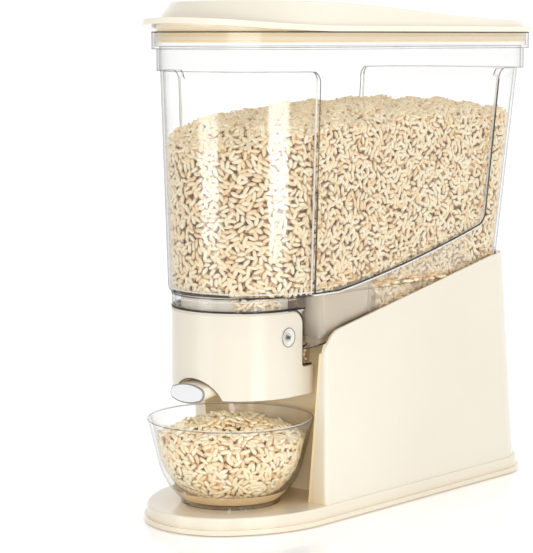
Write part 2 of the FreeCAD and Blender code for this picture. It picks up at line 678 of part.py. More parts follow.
RIM_CHORD = root(s.bowl_radius * s.bowl_radius - (TOWER_FRONT - BOWL_Y) * (TOWER_FRONT - BOWL_Y))
BAY_HALF = RIM_CHORD + s.bowl_side_gap - tangent(s.bay_flare) * s.bowl_height
BAY_BACK = BOWL_Y + s.bowl_radius + s.bowl_back_gap - tangent(s.bay_lean) * s.bowl_height
DECK_DROP = s.deck_pad + s.deck_plate


def bay_loft(body, name, front, wall, cut=False):
    """The bay's space, or the block round it when wall is more than nothing."""
    rise = s.tower_front_z
    low = bay_plan(new_sketch(body, name + "_low", offset=s.plate_top), BAY_HALF + wall, front,
                   BAY_BACK + wall, s.bay_corner + wall)
    high = bay_plan(new_sketch(body, name + "_high", offset=s.plate_top + rise),
                    BAY_HALF + wall + tangent(s.bay_flare) * rise, front,
                    BAY_BACK + wall + tangent(s.bay_lean) * rise, s.bay_corner + wall)
    return loft(body, name, low, high, cut)


def make_tower_shell():
    body = new_body("tower_shell")
    tower_loft(body, "tower_block", NOTHING, s.tower_front_corner)
    centre_y = TOWER_FRONT + s.tower_round
    centre_z = top_line(centre_y) - s.tower_round / cosine(s.tower_slope)
    points = [(TOWER_FRONT - s.tower_round, centre_z), (TOWER_FRONT, centre_z),
              (centre_y - s.tower_round * sine(s.tower_slope), centre_z + s.tower_round * cosine(s.tower_slope))]
    cut_above(body, "tower_top", points + LEVEL_TOP, {1: ("radius", s.tower_round, -1)})
    tower_loft(body, "tower_hollow", s.tower_wall, s.tower_front_corner / 2, cut=True)
    bosses = new_sketch(body, "boss_plan", offset=s.plate_top)
    for centre in SCREWS.values():
        add_circle(bosses, centre, s.boss_radius)
    pad(body, "bosses", bosses, s.boss_height)
    holes = new_sketch(body, "boss_hole_plan", offset=s.plate_top)
    for centre in SCREWS.values():
        add_circle(holes, centre, s.screw_radius)
    pocket(body, "boss_holes", holes, s.boss_height, upward=True)
    bay_loft(body, "bay_opening", TOWER_FRONT - s.tower_round, s.bay_wall, cut=True)


def make_bay_liner():
    body = new_body("bay_liner")
    bay_loft(body, "liner_block", TOWER_FRONT, s.bay_wall)
    bay_loft(body, "liner_space", TOWER_FRONT - s.tower_round, NOTHING, cut=True)
    cut_above(body, "liner_top", floor_line(-DECK_DROP))


def make_saddle_deck():
    room = new_body("deck_room")
    tower_loft(room, "deck_room_block", s.tower_wall, s.tower_front_corner / 2)
    cut_above(room, "deck_room_top", LEVEL_TOP)
    slab = new_body("deck_slab")
    top = floor_line(-s.deck_pad)
    low = floor_line(-DECK_DROP)
    front = TOWER_FRONT + s.deck_set
    lead = front - FLOOR_KNEE_Y
    outline = [(front, low[1][1] + lead * SLOPE), low[2], top[2], (front, top[1][1] + lead * SLOPE)]
    pad(slab, "deck_plate_block", add_outline(new_sketch(slab, "deck_side", "YZ_Plane"), outline),
        s.through, both=True)
    combine("MultiCommon", "saddle_deck", room, slab)


def make_deck_pad(name, side):
    body = new_body(name)
    middle = s.deck_pad_x * side
    front = TOWER_FRONT + s.deck_set + s.deck_pad_width
    rear = front + s.deck_pad_length
    low = [top_line(y) - s.chute_drop - s.deck_pad for y in (front, rear)]
    high = [z + s.deck_pad - s.rest_gap for z in low]
    side_view = new_sketch(body, name + "_side", "YZ_Plane", middle - s.deck_pad_width / 2)
    add_outline(side_view, [(front, low[0]), (rear, low[1]), (rear, high[1]), (front, high[0])])
    pad(body, name + "_strip", side_view, s.deck_pad_width)


# ---- hopper -----------------------------------------------------------------------------------------

def hopper_loft(body, name, grow, start, cut=False):
    """The hopper's tapered body, made wider or narrower by grow."""
    low = nose_plan(new_sketch(body, name + "_low", offset=start), s.hopper_half_low + grow, NOSE_Y,
                    s.hopper_rear_low + grow, s.hopper_corner + grow)
    high = nose_plan(new_sketch(body, name + "_high", offset=s.hopper_shoulder_z), s.hopper_half_high + grow,
                     NOSE_Y, s.hopper_rear_high + grow, s.hopper_corner + grow)
    return loft(body, name, low, high, cut)


def chute_loft(body, name, grow, cut=False):
    """The part of the hopper that reaches down into the tower."""
    low = block_plan(new_sketch(body, name + "_low", offset=s.chute_foot_z),
                     s.hopper_half_low - s.chute_draft + grow, CHUTE_FRONT - grow,
                     s.hopper_rear_low - s.chute_rear_draft + grow, s.chute_corner + grow,
                     s.hopper_corner + grow)
    high = block_plan(new_sketch(body, name + "_high", offset=s.hopper_foot_z), s.hopper_half_low + grow,
                      CHUTE_FRONT - grow, s.hopper_rear_low + grow, s.chute_corner + grow,
                      s.hopper_corner + grow)
    return loft(body, name, low, high, cut)


def panel_outline(sketch, inset):
    """Side view of a proud side panel, drawn smaller all round by inset."""
    front = s.front_edge + s.panel_front + inset
    low = s.panel_low_z + inset
    high = s.hopper_shoulder_z + s.rib_width
    flare = s.panel_flare + inset
    shoulder = s.hopper_shoulder_z - s.panel_flare
    level_end = s.front_edge + s.panel_front + s.panel_flat
    sweep_end = s.front_edge + s.panel_sweep_end
    rear_low = sweep_end + s.panel_corner_run - inset
    rear_high = s.front_edge + s.panel_rear_high - inset
    rise = s.panel_low_z + s.panel_rise
    points = [(front - flare, high), (front - flare, shoulder + flare), (front, shoulder), (front, low),
              (level_end, low), (sweep_end, rise + inset), (rear_low, rise + s.panel_corner_rise),
              (rear_high, shoulder), (rear_high + flare, shoulder + flare), (rear_high + flare, high)]
    arcs = {1: ("radius", flare, -1), 4: ("radius", s.panel_sweep, 1), 5: ("radius", s.panel_corner, 1),
            7: ("radius", flare, -1)}
    return add_outline(sketch, points, arcs)


def make_panel(name, grow, inset):
    """The wider middle of the hopper that its two side panels belong to."""
    wide = new_body(name + "_wide")
    hopper_loft(wide, name + "_block", s.panel_proud + grow, s.hopper_foot_z)
    band = nose_plan(new_sketch(wide, name + "_band", offset=s.hopper_shoulder_z),
                     s.hopper_half_high + s.panel_proud + grow, NOSE_Y, s.hopper_rear_high + s.panel_proud + grow,
                     s.hopper_corner + s.panel_proud + grow)
    pad(wide, name + "_top", band, s.rib_width)
    slice_body = new_body(name + "_slice")
    pad(slice_body, name + "_prism", panel_outline(new_sketch(slice_body, name + "_side", "YZ_Plane"), inset),
        s.through, both=True)
    return combine("MultiCommon", name, wide, slice_body)


def band_plan(body, name, grow, start):
    return nose_plan(new_sketch(body, name, offset=start), s.hopper_half_high + s.panel_proud + grow, NOSE_Y,
                     s.band_rear + grow, s.hopper_corner + s.panel_proud + grow)


def rim_plan(body, name, grow, start):
    return nose_plan(new_sketch(body, name, offset=start), s.rim_half + grow, NOSE_Y - s.rim_shift,
                     s.rim_rear + grow, s.hopper_corner + s.panel_proud + grow)


THROAT_REAR = CHUTE_FRONT
THROAT_KNEE_Z = FLOOR_FRONT_Z + s.throat_knee


def make_hopper_shell():
    outer = new_body("hopper_outside")
    hopper_loft(outer, "hopper_body", NOTHING, s.hopper_foot_z)
    nose_edge = lambda edge: edge.BoundBox.ZMax < s.hopper_foot_z.value + 0.01 and \
        edge.BoundBox.YMax < NOSE_Y.value + 0.01 and edge.BoundBox.YLength > s.hopper_half_low.value / 2
    fillet(outer, "nose_rounding", nose_edge, s.hopper_round)
    chute_loft(outer, "chute", NOTHING)
    cut_below(outer, "chute_floor", floor_line(NOTHING))
    neck = arch_plan(new_sketch(outer, "neck_plan", offset=NECK_BOTTOM), s.spout_radius - s.neck_inset,
                     SPOUT_Y, CHUTE_FRONT + s.hopper_wall)
    pad(outer, "neck", neck, s.neck_height + s.hopper_wall)
    pad(outer, "band", band_plan(outer, "band_plan", NOTHING, s.hopper_shoulder_z),
        s.band_top_z - s.hopper_shoulder_z)
    pad(outer, "rim", rim_plan(outer, "rim_plan", NOTHING, s.band_top_z), s.rim_top_z - s.band_top_z)

    inner = new_body("hopper_inside")
    hopper_loft(inner, "hopper_space", -s.hopper_wall, s.hopper_foot_z)
    floor_cut = new_sketch(inner, "nose_floor_plan", offset=s.hopper_foot_z)
    add_box(floor_cut, -s.through / 2, s.through / 2, -s.through / 2, s.through / 2)
    pocket(inner, "nose_floor", floor_cut, s.hopper_wall, upward=True)
    chute_loft(inner, "chute_space", -s.hopper_wall)
    link = block_plan(new_sketch(inner, "link_plan", offset=s.hopper_foot_z), s.hopper_half_low - s.hopper_wall,
                      CHUTE_FRONT + s.hopper_wall, s.hopper_rear_low - s.hopper_wall,
                      s.chute_corner - s.hopper_wall, s.hopper_corner - s.hopper_wall)
    pad(inner, "chute_link", link, s.hopper_wall)
    cut_below(inner, "chute_floor_space", floor_line(s.hopper_wall))
    throat = arch_plan(new_sketch(inner, "neck_space_plan", offset=NECK_BOTTOM),
                       s.spout_radius - s.neck_inset - s.hopper_wall, SPOUT_Y, CHUTE_FRONT)
    pad(inner, "neck_space", throat, s.neck_height + s.hopper_wall)
    mouth = new_sketch(inner, "mouth_profile", "XZ_Plane", -CHUTE_FRONT)
    add_box(mouth, -s.throat_half, s.throat_half, THROAT_KNEE_Z, s.hopper_foot_z + s.hopper_wall)
    through_wall = pad(inner, "mouth", mouth, s.hopper_wall * 2)
    through_wall.Reversed = True
    tip_hole = new_sketch(inner, "tip_hole_plan", offset=FLOOR_FRONT_Z)
    add_box(tip_hole, s.tip_wall - s.tip_half, s.tip_half - s.tip_wall, CHUTE_FRONT + s.hopper_wall,
            CHUTE_FRONT + s.tip_length - s.tip_wall)
    pad(inner, "tip_hole", tip_hole, s.chute_bend / 2)
    ledge_z = s.band_top_z + s.hopper_wall
    pad(inner, "band_space", band_plan(inner, "band_space_plan", -s.hopper_wall, s.hopper_shoulder_z),
        ledge_z - s.hopper_shoulder_z)
    pad(inner, "rim_space", rim_plan(inner, "rim_space_plan", -s.rim_wall, ledge_z), s.rim_top_z - ledge_z)

    panels = make_panel("panel_outside", NOTHING, NOTHING)
    recess = make_panel("panel_inside", -s.hopper_wall, s.hopper_wall)
    outside = combine("MultiFuse", "hopper_whole", outer, panels)
    inside = combine("MultiFuse", "hopper_room", inner, recess)
    whole = combine("Cut", "hopper_mouldings", outside, inside)
    below = new_body("hopper_parting")
    parting = new_sketch(below, "parting_plan", offset=s.hopper_foot_z - s.through / 2)
    pad(below, "parting_block", add_box(parting, -s.through / 2, s.through / 2, -s.through / 2, s.through / 2),
        s.through / 2)
    combine("MultiCommon", "hopper_chute", whole, below)
    combine("Cut", "hopper_shell", whole, below)


def make_outlet_tip():
    body = new_body("outlet_tip")
    rear = CHUTE_FRONT + s.tip_length
    low = FLOOR_FRONT_Z - s.tip_bottom
    fall = s.chute_fall / s.chute_bend
    rear_z = FLOOR_FRONT_Z + s.tip_length * fall
    outline = [(CHUTE_FRONT, low), (rear - s.tip_wall, low), (rear, rear_z), (CHUTE_FRONT, FLOOR_FRONT_Z)]
    side = new_sketch(body, "tip_side", "YZ_Plane")
    pad(body, "tip_block", add_outline(side, outline), s.tip_half * 2, both=True)
    space = new_sketch(body, "tip_space_side", "YZ_Plane")
    inner = [(CHUTE_FRONT + s.tip_wall, low + s.tip_wall), (rear - s.tip_wall * 2, low + s.tip_wall),
             (rear - s.tip_wall, rear_z + s.tip_wall), (CHUTE_FRONT + s.tip_wall, rear_z + s.tip_wall)]
    pocket(body, "tip_space", add_outline(space, inner), (s.tip_half - s.tip_wall) * 2, both=True)


def make_outlet_funnel():
    """A plate that closes the spout cover's top, with a throat down to a slot over the gate."""
    edge = s.gate_radius - s.gate_gap
    plate_low = SPOUT_TOP - s.funnel_plate

    def throat(body, name, grow, top):
        """Side view of the throat, larger by grow; its foot follows the gate's curve."""
        front = s.slot_front + grow
        back = s.slot_front - s.slot_length - grow
        points = [(PIVOT_Y - s.throat_front - grow, top), (PIVOT_Y - front, PIVOT_Z - root(edge * edge - front * front)),
                  (PIVOT_Y - back, PIVOT_Z - root(edge * edge - back * back)),
                  (THROAT_REAR, THROAT_KNEE_Z - grow), (THROAT_REAR, top)]
        sketch = add_outline(new_sketch(body, name + "_side", "YZ_Plane"), points, {1: ("radius", edge, 1)})
        pad(body, name, sketch, (s.throat_half + grow) * 2, both=True)

    solid = new_body("funnel_outside")
    throat(solid, "throat_block", s.throat_wall, plate_low + s.funnel_plate / 2)
    plate = arch_plan(new_sketch(solid, "funnel_plate_plan", offset=plate_low), s.spout_radius - s.spout_wall,
                      SPOUT_Y, THROAT_REAR)
    pad(solid, "funnel_top", plate, s.funnel_plate)
    space = new_body("funnel_inside")
    throat(space, "throat_space", NOTHING, SPOUT_TOP)
    combine("Cut", "outlet_funnel", solid, space)


def make_spout_cover():
    body = new_body("spout_cover")
    rear_low = SPOUT_Y + s.spout_rear_low
    rear_high = SPOUT_Y + s.spout_rear_high
    inner_half = s.spout_radius - s.spout_wall
    notch_z = SPOUT_BOTTOM + s.spout_notch
    notch_round = s.spout_wall
    pad(body, "cover_block", arch_plan(new_sketch(body, "cover_plan", offset=SPOUT_BOTTOM), s.spout_radius,
                                       SPOUT_Y, rear_low), s.spout_height)
    pocket(body, "cover_space", arch_plan(new_sketch(body, "cover_space_plan", offset=SPOUT_BOTTOM), inner_half,
                                          SPOUT_Y, rear_low + s.spout_wall), s.spout_height, upward=True)
    beyond = rear_low + s.spout_wall
    notch = [(rear_high - s.spout_round, SPOUT_TOP), (rear_high, SPOUT_TOP - s.spout_round),
             (rear_high, notch_z + notch_round), (rear_high + notch_round, notch_z), (beyond, notch_z),
             (beyond, SPOUT_TOP + s.spout_wall), (rear_high - s.spout_round, SPOUT_TOP + s.spout_wall)]
    arcs = {0: ("radius", s.spout_round, -1), 2: ("radius", notch_round, 1)}
    pocket(body, "cover_notch", add_outline(new_sketch(body, "cover_notch_side", "YZ_Plane"), notch, arcs),
           s.through, both=True)

    # arch at the front for the lever
    radius = (s.arch_half * s.arch_half + s.arch_height * s.arch_height) / (s.arch_height * 2)
    arch = new_sketch(body, "arch_front", "XZ_Plane", -SPOUT_Y)
    add_outline(arch, [(-s.arch_half, SPOUT_BOTTOM), (s.arch_half, SPOUT_BOTTOM)],
                {1: ("radius", radius, 1)})
    pocket(body, "arch", arch, s.spout_radius + s.spout_wall, upward=True)

    # bosses for the pins, with a seat for a cap outside each
    pivot = (PIVOT_Y, PIVOT_Z)
    boss_length = inner_half - s.coil_start - s.coil_wire
    seat = s.spout_radius - s.cap_seat
    for name, side in (("right", 1), ("left", -1)):
        start = s.coil_start + s.coil_wire if side > 0 else -inner_half
        disc(body, f"pin_boss_{name}", pivot, s.pin_boss, start, boss_length, "YZ_Plane")
        bore(body, f"cap_seat_{name}", pivot, s.cap_radius, seat * side, s.cap_seat * 2, "YZ_Plane", side > 0)
        bore(body, f"pin_hole_{name}", pivot, s.pin_radius, s.pin_inner * side, s.pin_inner, "YZ_Plane", side > 0)


def make_pin(name, side):
    body = new_body(name)
    length = s.spout_radius - s.cap_seat - s.pin_inner
    start = s.pin_inner if side > 0 else s.cap_seat - s.spout_radius
    disc(body, name + "_rod", (PIVOT_Y, PIVOT_Z), s.pin_radius, start, length, "YZ_Plane")


def make_cap(name, side):
    body = new_body(name)
    edge = s.cap_dish / 2
    rim = s.cap_radius - s.cap_dish
    revolve(body, name + "_turned", [(NOTHING, NOTHING), (s.cap_radius, NOTHING), (s.cap_radius, s.cap_height - edge),
                                     (s.cap_radius - edge, s.cap_height), (rim, s.cap_height),
                                     (NOTHING, s.cap_height - s.cap_dish)])
    place(body, (s.spout_radius - s.cap_seat) * side, PIVOT_Y, PIVOT_Z, Vector(0, side, 0), Size.of(90))


def make_neck_gasket():
    body = new_body("neck_gasket")
    outer = arch_plan(new_sketch(body, "gasket_plan", offset=SPOUT_TOP), s.spout_radius - s.neck_inset, SPOUT_Y,
                      CHUTE_FRONT)
    pad(body, "gasket_block", outer, s.gasket_height)
    inner = arch_plan(new_sketch(body, "gasket_hole_plan", offset=SPOUT_TOP),
                      s.spout_radius - s.neck_inset - s.hopper_wall * 2, SPOUT_Y, CHUTE_FRONT + s.hopper_wall)
    pocket(body, "gasket_hole", inner, s.gasket_height, upward=True)


WIRE_FLATS = 6


def make_return_spring():
    """A close coil round the right pin; its wire has flats."""
    body = new_body("return_spring")
    section = new_sketch(body, "wire_section", "XZ_Plane")
    turns = [Size.of(360 / WIRE_FLATS * k) for k in range(WIRE_FLATS)]
    add_outline(section, [(s.coil_radius + s.coil_wire * cosine(turn), s.coil_wire * sine(turn)) for turn in turns])
    coil = body.newObject("PartDesign::AdditiveHelix", "coil")
    coil.Profile = section
    coil.ReferenceAxis = (section, ["V_Axis"])
    coil.Mode = "pitch-turns-angle"
    bind(coil, "Pitch", s.coil_pitch)
    bind(coil, "Turns", s.coil_turns)
    place(body, s.coil_start + s.coil_wire, PIVOT_Y, PIVOT_Z, Vector(0, 1, 0), Size.of(90))


# ---- lever -------------------------------------------------------------------------------------------

def on_gate(radius, angle):
    """A point at that radius, that many degrees in front of straight below the pivot."""
    return PIVOT_Y - radius * sine(angle), PIVOT_Z - radius * cosine(angle)


ARM_INNER = s.throat_half + s.throat_wall + s.arm_gap
PAD_NORMAL = (-sine(s.pad_tilt), cosine(s.pad_tilt))
PAD_ALONG = (cosine(s.pad_tilt), sine(s.pad_tilt))
PAD_SEAT = (PIVOT_Y - s.pad_reach - PAD_NORMAL[0] * s.pad_height, PIVOT_Z - s.pad_drop - PAD_NORMAL[1] * s.pad_height)


def make_gate_flap():
    body = new_body("gate_flap")
    outer = s.gate_radius + s.gate_wall
    points = [on_gate(outer, s.gate_front), on_gate(outer, -s.gate_rear),
              on_gate(s.gate_radius, -s.gate_rear), on_gate(s.gate_radius, s.gate_front)]
    arcs = {0: ("radius", outer, 1), 2: ("radius", s.gate_radius, -1)}
    pad(body, "gate_plate", add_outline(new_sketch(body, "gate_side", "YZ_Plane"), points, arcs),
        ARM_INNER * 2, both=True)


def make_lever_arm():
    """Two side arms, a bridge under the gate, and a tongue that swells to the pad's oval."""
    body = new_body("lever_frame")
    outer = s.gate_radius + s.gate_wall
    hub = s.hub_radius
    side_turn = (s.gate_front - s.gate_rear) / 2
    across_y = hub * cosine(side_turn)
    across_z = hub * sine(side_turn)
    hub_right = (PIVOT_Y + across_y, PIVOT_Z - across_z)
    hub_left = (PIVOT_Y - across_y, PIVOT_Z + across_z)
    hub_top = (PIVOT_Y + across_z, PIVOT_Z + across_y)
    points = [on_gate(outer, s.gate_front), on_gate(outer, -s.gate_rear), hub_right, hub_top, hub_left]
    arcs = {0: ("radius", outer, 1), 2: ("radius", hub, 1), 3: ("radius", hub, 1)}
    for name, start in (("right", ARM_INNER), ("left", -ARM_INNER - s.arm_wall)):
        arm = new_sketch(body, f"arm_{name}_side", "YZ_Plane", start)
        pad(body, f"arm_{name}", add_outline(arm, points, arcs), s.arm_wall)
    strip = [on_gate(outer + s.gate_wall, s.gate_front), on_gate(outer + s.gate_wall, s.tongue_heel),
             on_gate(outer, s.tongue_heel), on_gate(outer, s.gate_front)]
    bridge = add_outline(new_sketch(body, "bridge_side", "YZ_Plane"), strip,
                         {0: ("radius", outer + s.gate_wall, 1), 2: ("radius", outer, -1)})
    pad(body, "bridge", bridge, (ARM_INNER + s.arm_wall) * 2, both=True)
    middle = [PAD_SEAT[k] + PAD_ALONG[k] * s.tongue_shift - PAD_NORMAL[k] * s.tongue_depth for k in (0, 1)]
    upper = [middle[k] + PAD_ALONG[k] * s.tongue_root_rise for k in (0, 1)]
    lower = [middle[k] - PAD_ALONG[k] * s.tongue_root_rise for k in (0, 1)]
    side = [on_gate(outer, s.gate_front), upper, lower, on_gate(outer, s.tongue_heel)]
    foot = add_outline(new_sketch(body, "tongue_foot_side", "YZ_Plane"), side, {3: ("radius", outer, -1)})
    pad(body, "tongue_foot", foot, s.tongue_half * 2 - s.tongue_root_end, both=True)
    bore(body, "hub_bore", (PIVOT_Y, PIVOT_Z), s.pin_radius + s.pin_fit, -s.through / 2, s.through, "YZ_Plane")

    tongue = new_body("lever_tongue")
    seat = pad_plan(new_sketch(tongue, "tongue_seat_plan"), s.pad_half + s.pad_ring, s.pad_rise + s.pad_ring,
                    s.pad_end + s.pad_ring)
    root_plan = pad_plan(new_sketch(tongue, "tongue_root_plan", offset=-s.tongue_depth), s.tongue_half,
                         s.tongue_root_rise, s.tongue_root_end, s.tongue_shift)
    loft(tongue, "tongue_sweep", root_plan, seat)
    place(tongue, NOTHING, PAD_SEAT[0], PAD_SEAT[1], Vector(1, 0, 0), s.pad_tilt)
    combine("MultiFuse", "lever_arm", body, tongue)


def make_push_pad():
    body = new_body("push_pad")
    pad(body, "pad_disc", pad_plan(new_sketch(body, "pad_outline"), s.pad_half, s.pad_rise, s.pad_end), s.pad_height)
    place(body, NOTHING, PAD_SEAT[0], PAD_SEAT[1], Vector(1, 0, 0), s.pad_tilt)


def make_push_pad_ring():
    body = new_body("push_pad_ring")
    outline = pad_plan(new_sketch(body, "ring_outline"), s.pad_half + s.pad_ring, s.pad_rise + s.pad_ring,
                       s.pad_end + s.pad_ring)
    pad(body, "ring_disc", outline, s.pad_ring_height)
    hole = pad_plan(new_sketch(body, "ring_hole"), s.pad_half, s.pad_rise, s.pad_end)
    pocket(body, "ring_opening", hole, s.pad_ring_height, upward=True)
    place(body, NOTHING, PAD_SEAT[0], PAD_SEAT[1], Vector(1, 0, 0), s.pad_tilt)


# ---- bowl and lid ---------------------------------------------------------------------------------------

def make_glass_bowl():
    body = new_body("glass_bowl")
    rim_z = s.bowl_height - s.bowl_rim
    inner_top = s.bowl_radius - s.bowl_rim * 2
    rim_middle = s.bowl_radius - s.bowl_rim
    bevel = s.bowl_rim * sine(Size.of(45))
    floor_z = s.bowl_foot_height + s.bowl_base
    lip_z = s.bowl_height - s.bowl_lip
    outer = [(NOTHING, s.bowl_foot_height / 2), (s.bowl_foot - s.bowl_base, s.bowl_foot_height / 2),
             (s.bowl_foot - s.bowl_wall, NOTHING), (s.bowl_foot, NOTHING), (s.bowl_foot, s.bowl_foot_height),
             (s.bowl_belly, s.bowl_belly_z), (s.bowl_radius - s.bowl_lip_step, lip_z), (s.bowl_radius, rim_z),
             (rim_middle + bevel, rim_z + bevel), (rim_middle, s.bowl_height), (rim_middle - bevel, rim_z + bevel),
             (inner_top, rim_z), (s.bowl_belly - s.bowl_wall, s.bowl_belly_z), (s.bowl_foot - s.bowl_wall, floor_z),
             (NOTHING, floor_z)]
    arcs = {4: ("radius", s.bowl_curve, 1), 12: ("radius", s.bowl_curve - s.bowl_wall, -1)}
    revolve(body, "bowl_turned", outer, arcs)
    place(body, NOTHING, BOWL_Y, s.plate_top + s.rest_gap)


LID_LOW = s.rim_top_z + s.lid_gap
LID_FRONT = s.front_edge + s.lid_front
LID_NOSE = s.lid_half + s.lid_nose_extra
LID_NOSE_RADIUS = s.lid_half - s.lid_nose_ease
LIFT_RUN = NOSE_Y + s.lid_lift_start - LID_FRONT
LIFT_RADIUS = (LIFT_RUN * LIFT_RUN + s.lid_lift * s.lid_lift) / (s.lid_lift * 2)


def lid_outline(sketch, inset):
    return oval_plan(sketch, s.lid_half - inset, LID_FRONT + inset, LID_NOSE - inset,
                     LID_NOSE_RADIUS - inset, s.lid_rear - inset, s.lid_corner - inset)


def lid_under(shift):
    """Line of the flange's underside: it curves up at the front."""
    return [(LID_FRONT, LID_LOW + s.lid_lift + shift), (LID_FRONT + LIFT_RUN, LID_LOW + shift),
            (s.lid_rear + s.lid_flange, LID_LOW + shift)]


def dome_loft(body, name, inset, start):
    """The dome's tapering block, narrower by inset all round."""
    half = s.lid_half - s.dome_inset - inset
    front = LID_FRONT + s.dome_front + inset
    nose = LID_NOSE - s.dome_front - inset
    nose_radius = LID_NOSE_RADIUS - s.dome_front - inset
    rear = s.lid_rear - s.dome_inset - inset
    corner = s.lid_corner - s.dome_inset - inset
    low = oval_plan(new_sketch(body, name + "_low", offset=start), half, front, nose, nose_radius, rear, corner)
    shrink = (half - s.dome_side * 2) / half
    high = oval_plan(new_sketch(body, name + "_high", offset=start + s.lid_crown * 2), half * shrink,
                     front + s.dome_front_lean * 2, nose * shrink, nose_radius * shrink,
                     rear - s.dome_side * 2, corner)
    return loft(body, name, low, high)


def dome_line(shift):
    """Side view of the lid's top: level crown, bend, straight fall, and a tail that levels out."""
    crown_z = LID_LOW + s.lid_flange + s.lid_crown + shift
    crown_y = LID_FRONT + s.lid_crown_set
    bend_y = crown_y + s.lid_crown_length
    bend_radius = (s.lid_bend * s.lid_bend + s.lid_bend_fall * s.lid_bend_fall) / (s.lid_bend_fall * 2)
    grade = s.lid_bend / bend_radius
    fall_y = bend_y + s.lid_bend
    fall_z = crown_z - s.lid_bend_fall
    tail_y = fall_y + s.lid_fall_length
    tail_z = fall_z - grade * s.lid_fall_length
    tail_run = s.lid_rear - tail_y
    tail_radius = tail_run / grade
    points = [(LID_FRONT - s.lid_flange, crown_z), (bend_y, crown_z), (fall_y, fall_z), (tail_y, tail_z),
              (s.lid_rear, tail_z - grade * tail_run / 2), (s.lid_rear + s.lid_corner, tail_z - grade * tail_run / 2)]
    return points, {1: ("radius", bend_radius, -1), 3: ("radius", tail_radius, 1)}


def lid_under_cut(body, name):
    """Takes away all that lies under the line of the flange's underside."""
    under = lid_under(NOTHING)
    profile = under + [(under[2][0], NOTHING), (under[0][0], NOTHING)]
    side = new_sketch(body, name + "_side", "YZ_Plane")
    pocket(body, name, add_outline(side, profile, {0: ("radius", LIFT_RADIUS, 1)}), s.through, both=True)


def make_lid_shell():
    flange = new_body("lid_flange_plate")
    pad(flange, "flange_block", lid_outline(new_sketch(flange, "flange_plan", offset=LID_LOW), NOTHING),
        s.lid_flange + s.lid_lift * 2)
    lid_under_cut(flange, "flange_under")
    over = lid_under(s.lid_flange)
    cut_above(flange, "flange_over", over, {0: ("radius", LIFT_RADIUS, 1)})

    dome = new_body("lid_dome")
    dome_loft(dome, "dome_block", NOTHING, LID_LOW + s.lid_flange / 2)
    line, arcs = dome_line(NOTHING)
    cut_above(dome, "dome_top", line, arcs)
    tail = (s.lid_rear - s.dome_inset - s.dome_side * 2).value
    crest = (LID_LOW + s.lid_flange).value
    rim_edge = lambda edge: edge.BoundBox.ZMin > crest and (edge.BoundBox.YLength > 0.1 or edge.BoundBox.YMin > tail)
    fillet(dome, "dome_rounding", rim_edge, s.dome_round)
    lid_under_cut(dome, "dome_under")

    room = new_body("lid_room")
    dome_loft(room, "room_block", s.lid_wall, LID_LOW - s.lid_flange / 2)
    line, arcs = dome_line(-s.lid_wall)
    cut_above(room, "room_top", line, arcs)
    outside = combine("MultiFuse", "lid_outside", flange, dome)
    combine("Cut", "lid_shell", outside, room)


def skirt_plan(body, name, grow, start):
    return rim_plan(body, name, grow - s.rim_wall - s.skirt_gap, start)


def make_lid_skirt():
    body = new_body("lid_skirt")
    low = s.rim_top_z - s.skirt_depth
    height = s.skirt_depth + s.lid_gap + s.lid_lift
    pad(body, "skirt_block", skirt_plan(body, "skirt_outline", NOTHING, low), height)
    pocket(body, "skirt_space", skirt_plan(body, "skirt_space_outline", -s.skirt_wall, low), height, upward=True)
    cut_above(body, "skirt_top", lid_under(NOTHING), {0: ("radius", LIFT_RADIUS, 1)})


def make_lid_seal():
    body = new_body("lid_seal")
    low = s.rim_top_z - s.skirt_depth + s.seal_rise
    pad(body, "seal_block", rim_plan(body, "seal_outline", -s.rim_wall - s.seal_gap, low), s.seal_height)
    pocket(body, "seal_space", skirt_plan(body, "seal_space_outline", NOTHING, low), s.seal_height, upward=True)


# ---- build all, check, write ------------------------------------------------------------------------------

make_base_plate()
for foot_name, foot_centre in FEET.items():
    make_foot(foot_name, foot_centre)
for screw_name, screw_centre in SCREWS.items():
    make_base_screw(screw_name, screw_centre)
make_tower_shell()
make_bay_liner()
make_saddle_deck()
make_deck_pad("deck_pad_left", -1)
make_deck_pad("deck_pad_right", 1)
make_hopper_shell()
make_outlet_tip()
make_outlet_funnel()
make_spout_cover()
make_neck_gasket()
make_pin("pivot_pin_left", -1)
make_pin("pivot_pin_right", 1)
make_cap("pivot_cap_left", -1)
make_cap("pivot_cap_right", 1)
make_return_spring()
make_gate_flap()
make_lever_arm()
make_push_pad()
make_push_pad_ring()
make_glass_bowl()
make_lid_shell()
make_lid_skirt()
make_lid_seal()

NODES = (["base_plate"] + list(FEET) + list(SCREWS) +
         ["tower_shell", "bay_liner", "saddle_deck", "deck_pad_left", "deck_pad_right", "hopper_shell",
          "hopper_chute", "outlet_tip", "outlet_funnel", "spout_cover", "neck_gasket", "pivot_pin_left", "pivot_pin_right",
          "pivot_cap_left", "pivot_cap_right", "return_spring", "gate_flap", "lever_arm", "push_pad",
          "push_pad_ring", "glass_bowl", "lid_shell", "lid_skirt", "lid_seal"])

doc.recompute()
faults = [item.Label for item in doc.Objects if "Invalid" in item.State or "Error" in item.State]
if faults:
    raise RuntimeError("features that failed: " + ", ".join(faults))
os.makedirs("parts", exist_ok=True)
for node in NODES:
    item = doc.getObjectsByLabel(node)[0]
    if item.Shape.isNull() or not item.Shape.isValid():
        raise RuntimeError("bad shape: " + node)
    item.Shape.exportStep(f"parts/{node}.step")
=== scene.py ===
"""Grain dispenser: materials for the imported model, the grain in it, floor, light and camera; in metres."""
import math

import bpy
import numpy as np
from mathutils import Euler, Matrix, Vector
from mathutils.bvhtree import BVHTree


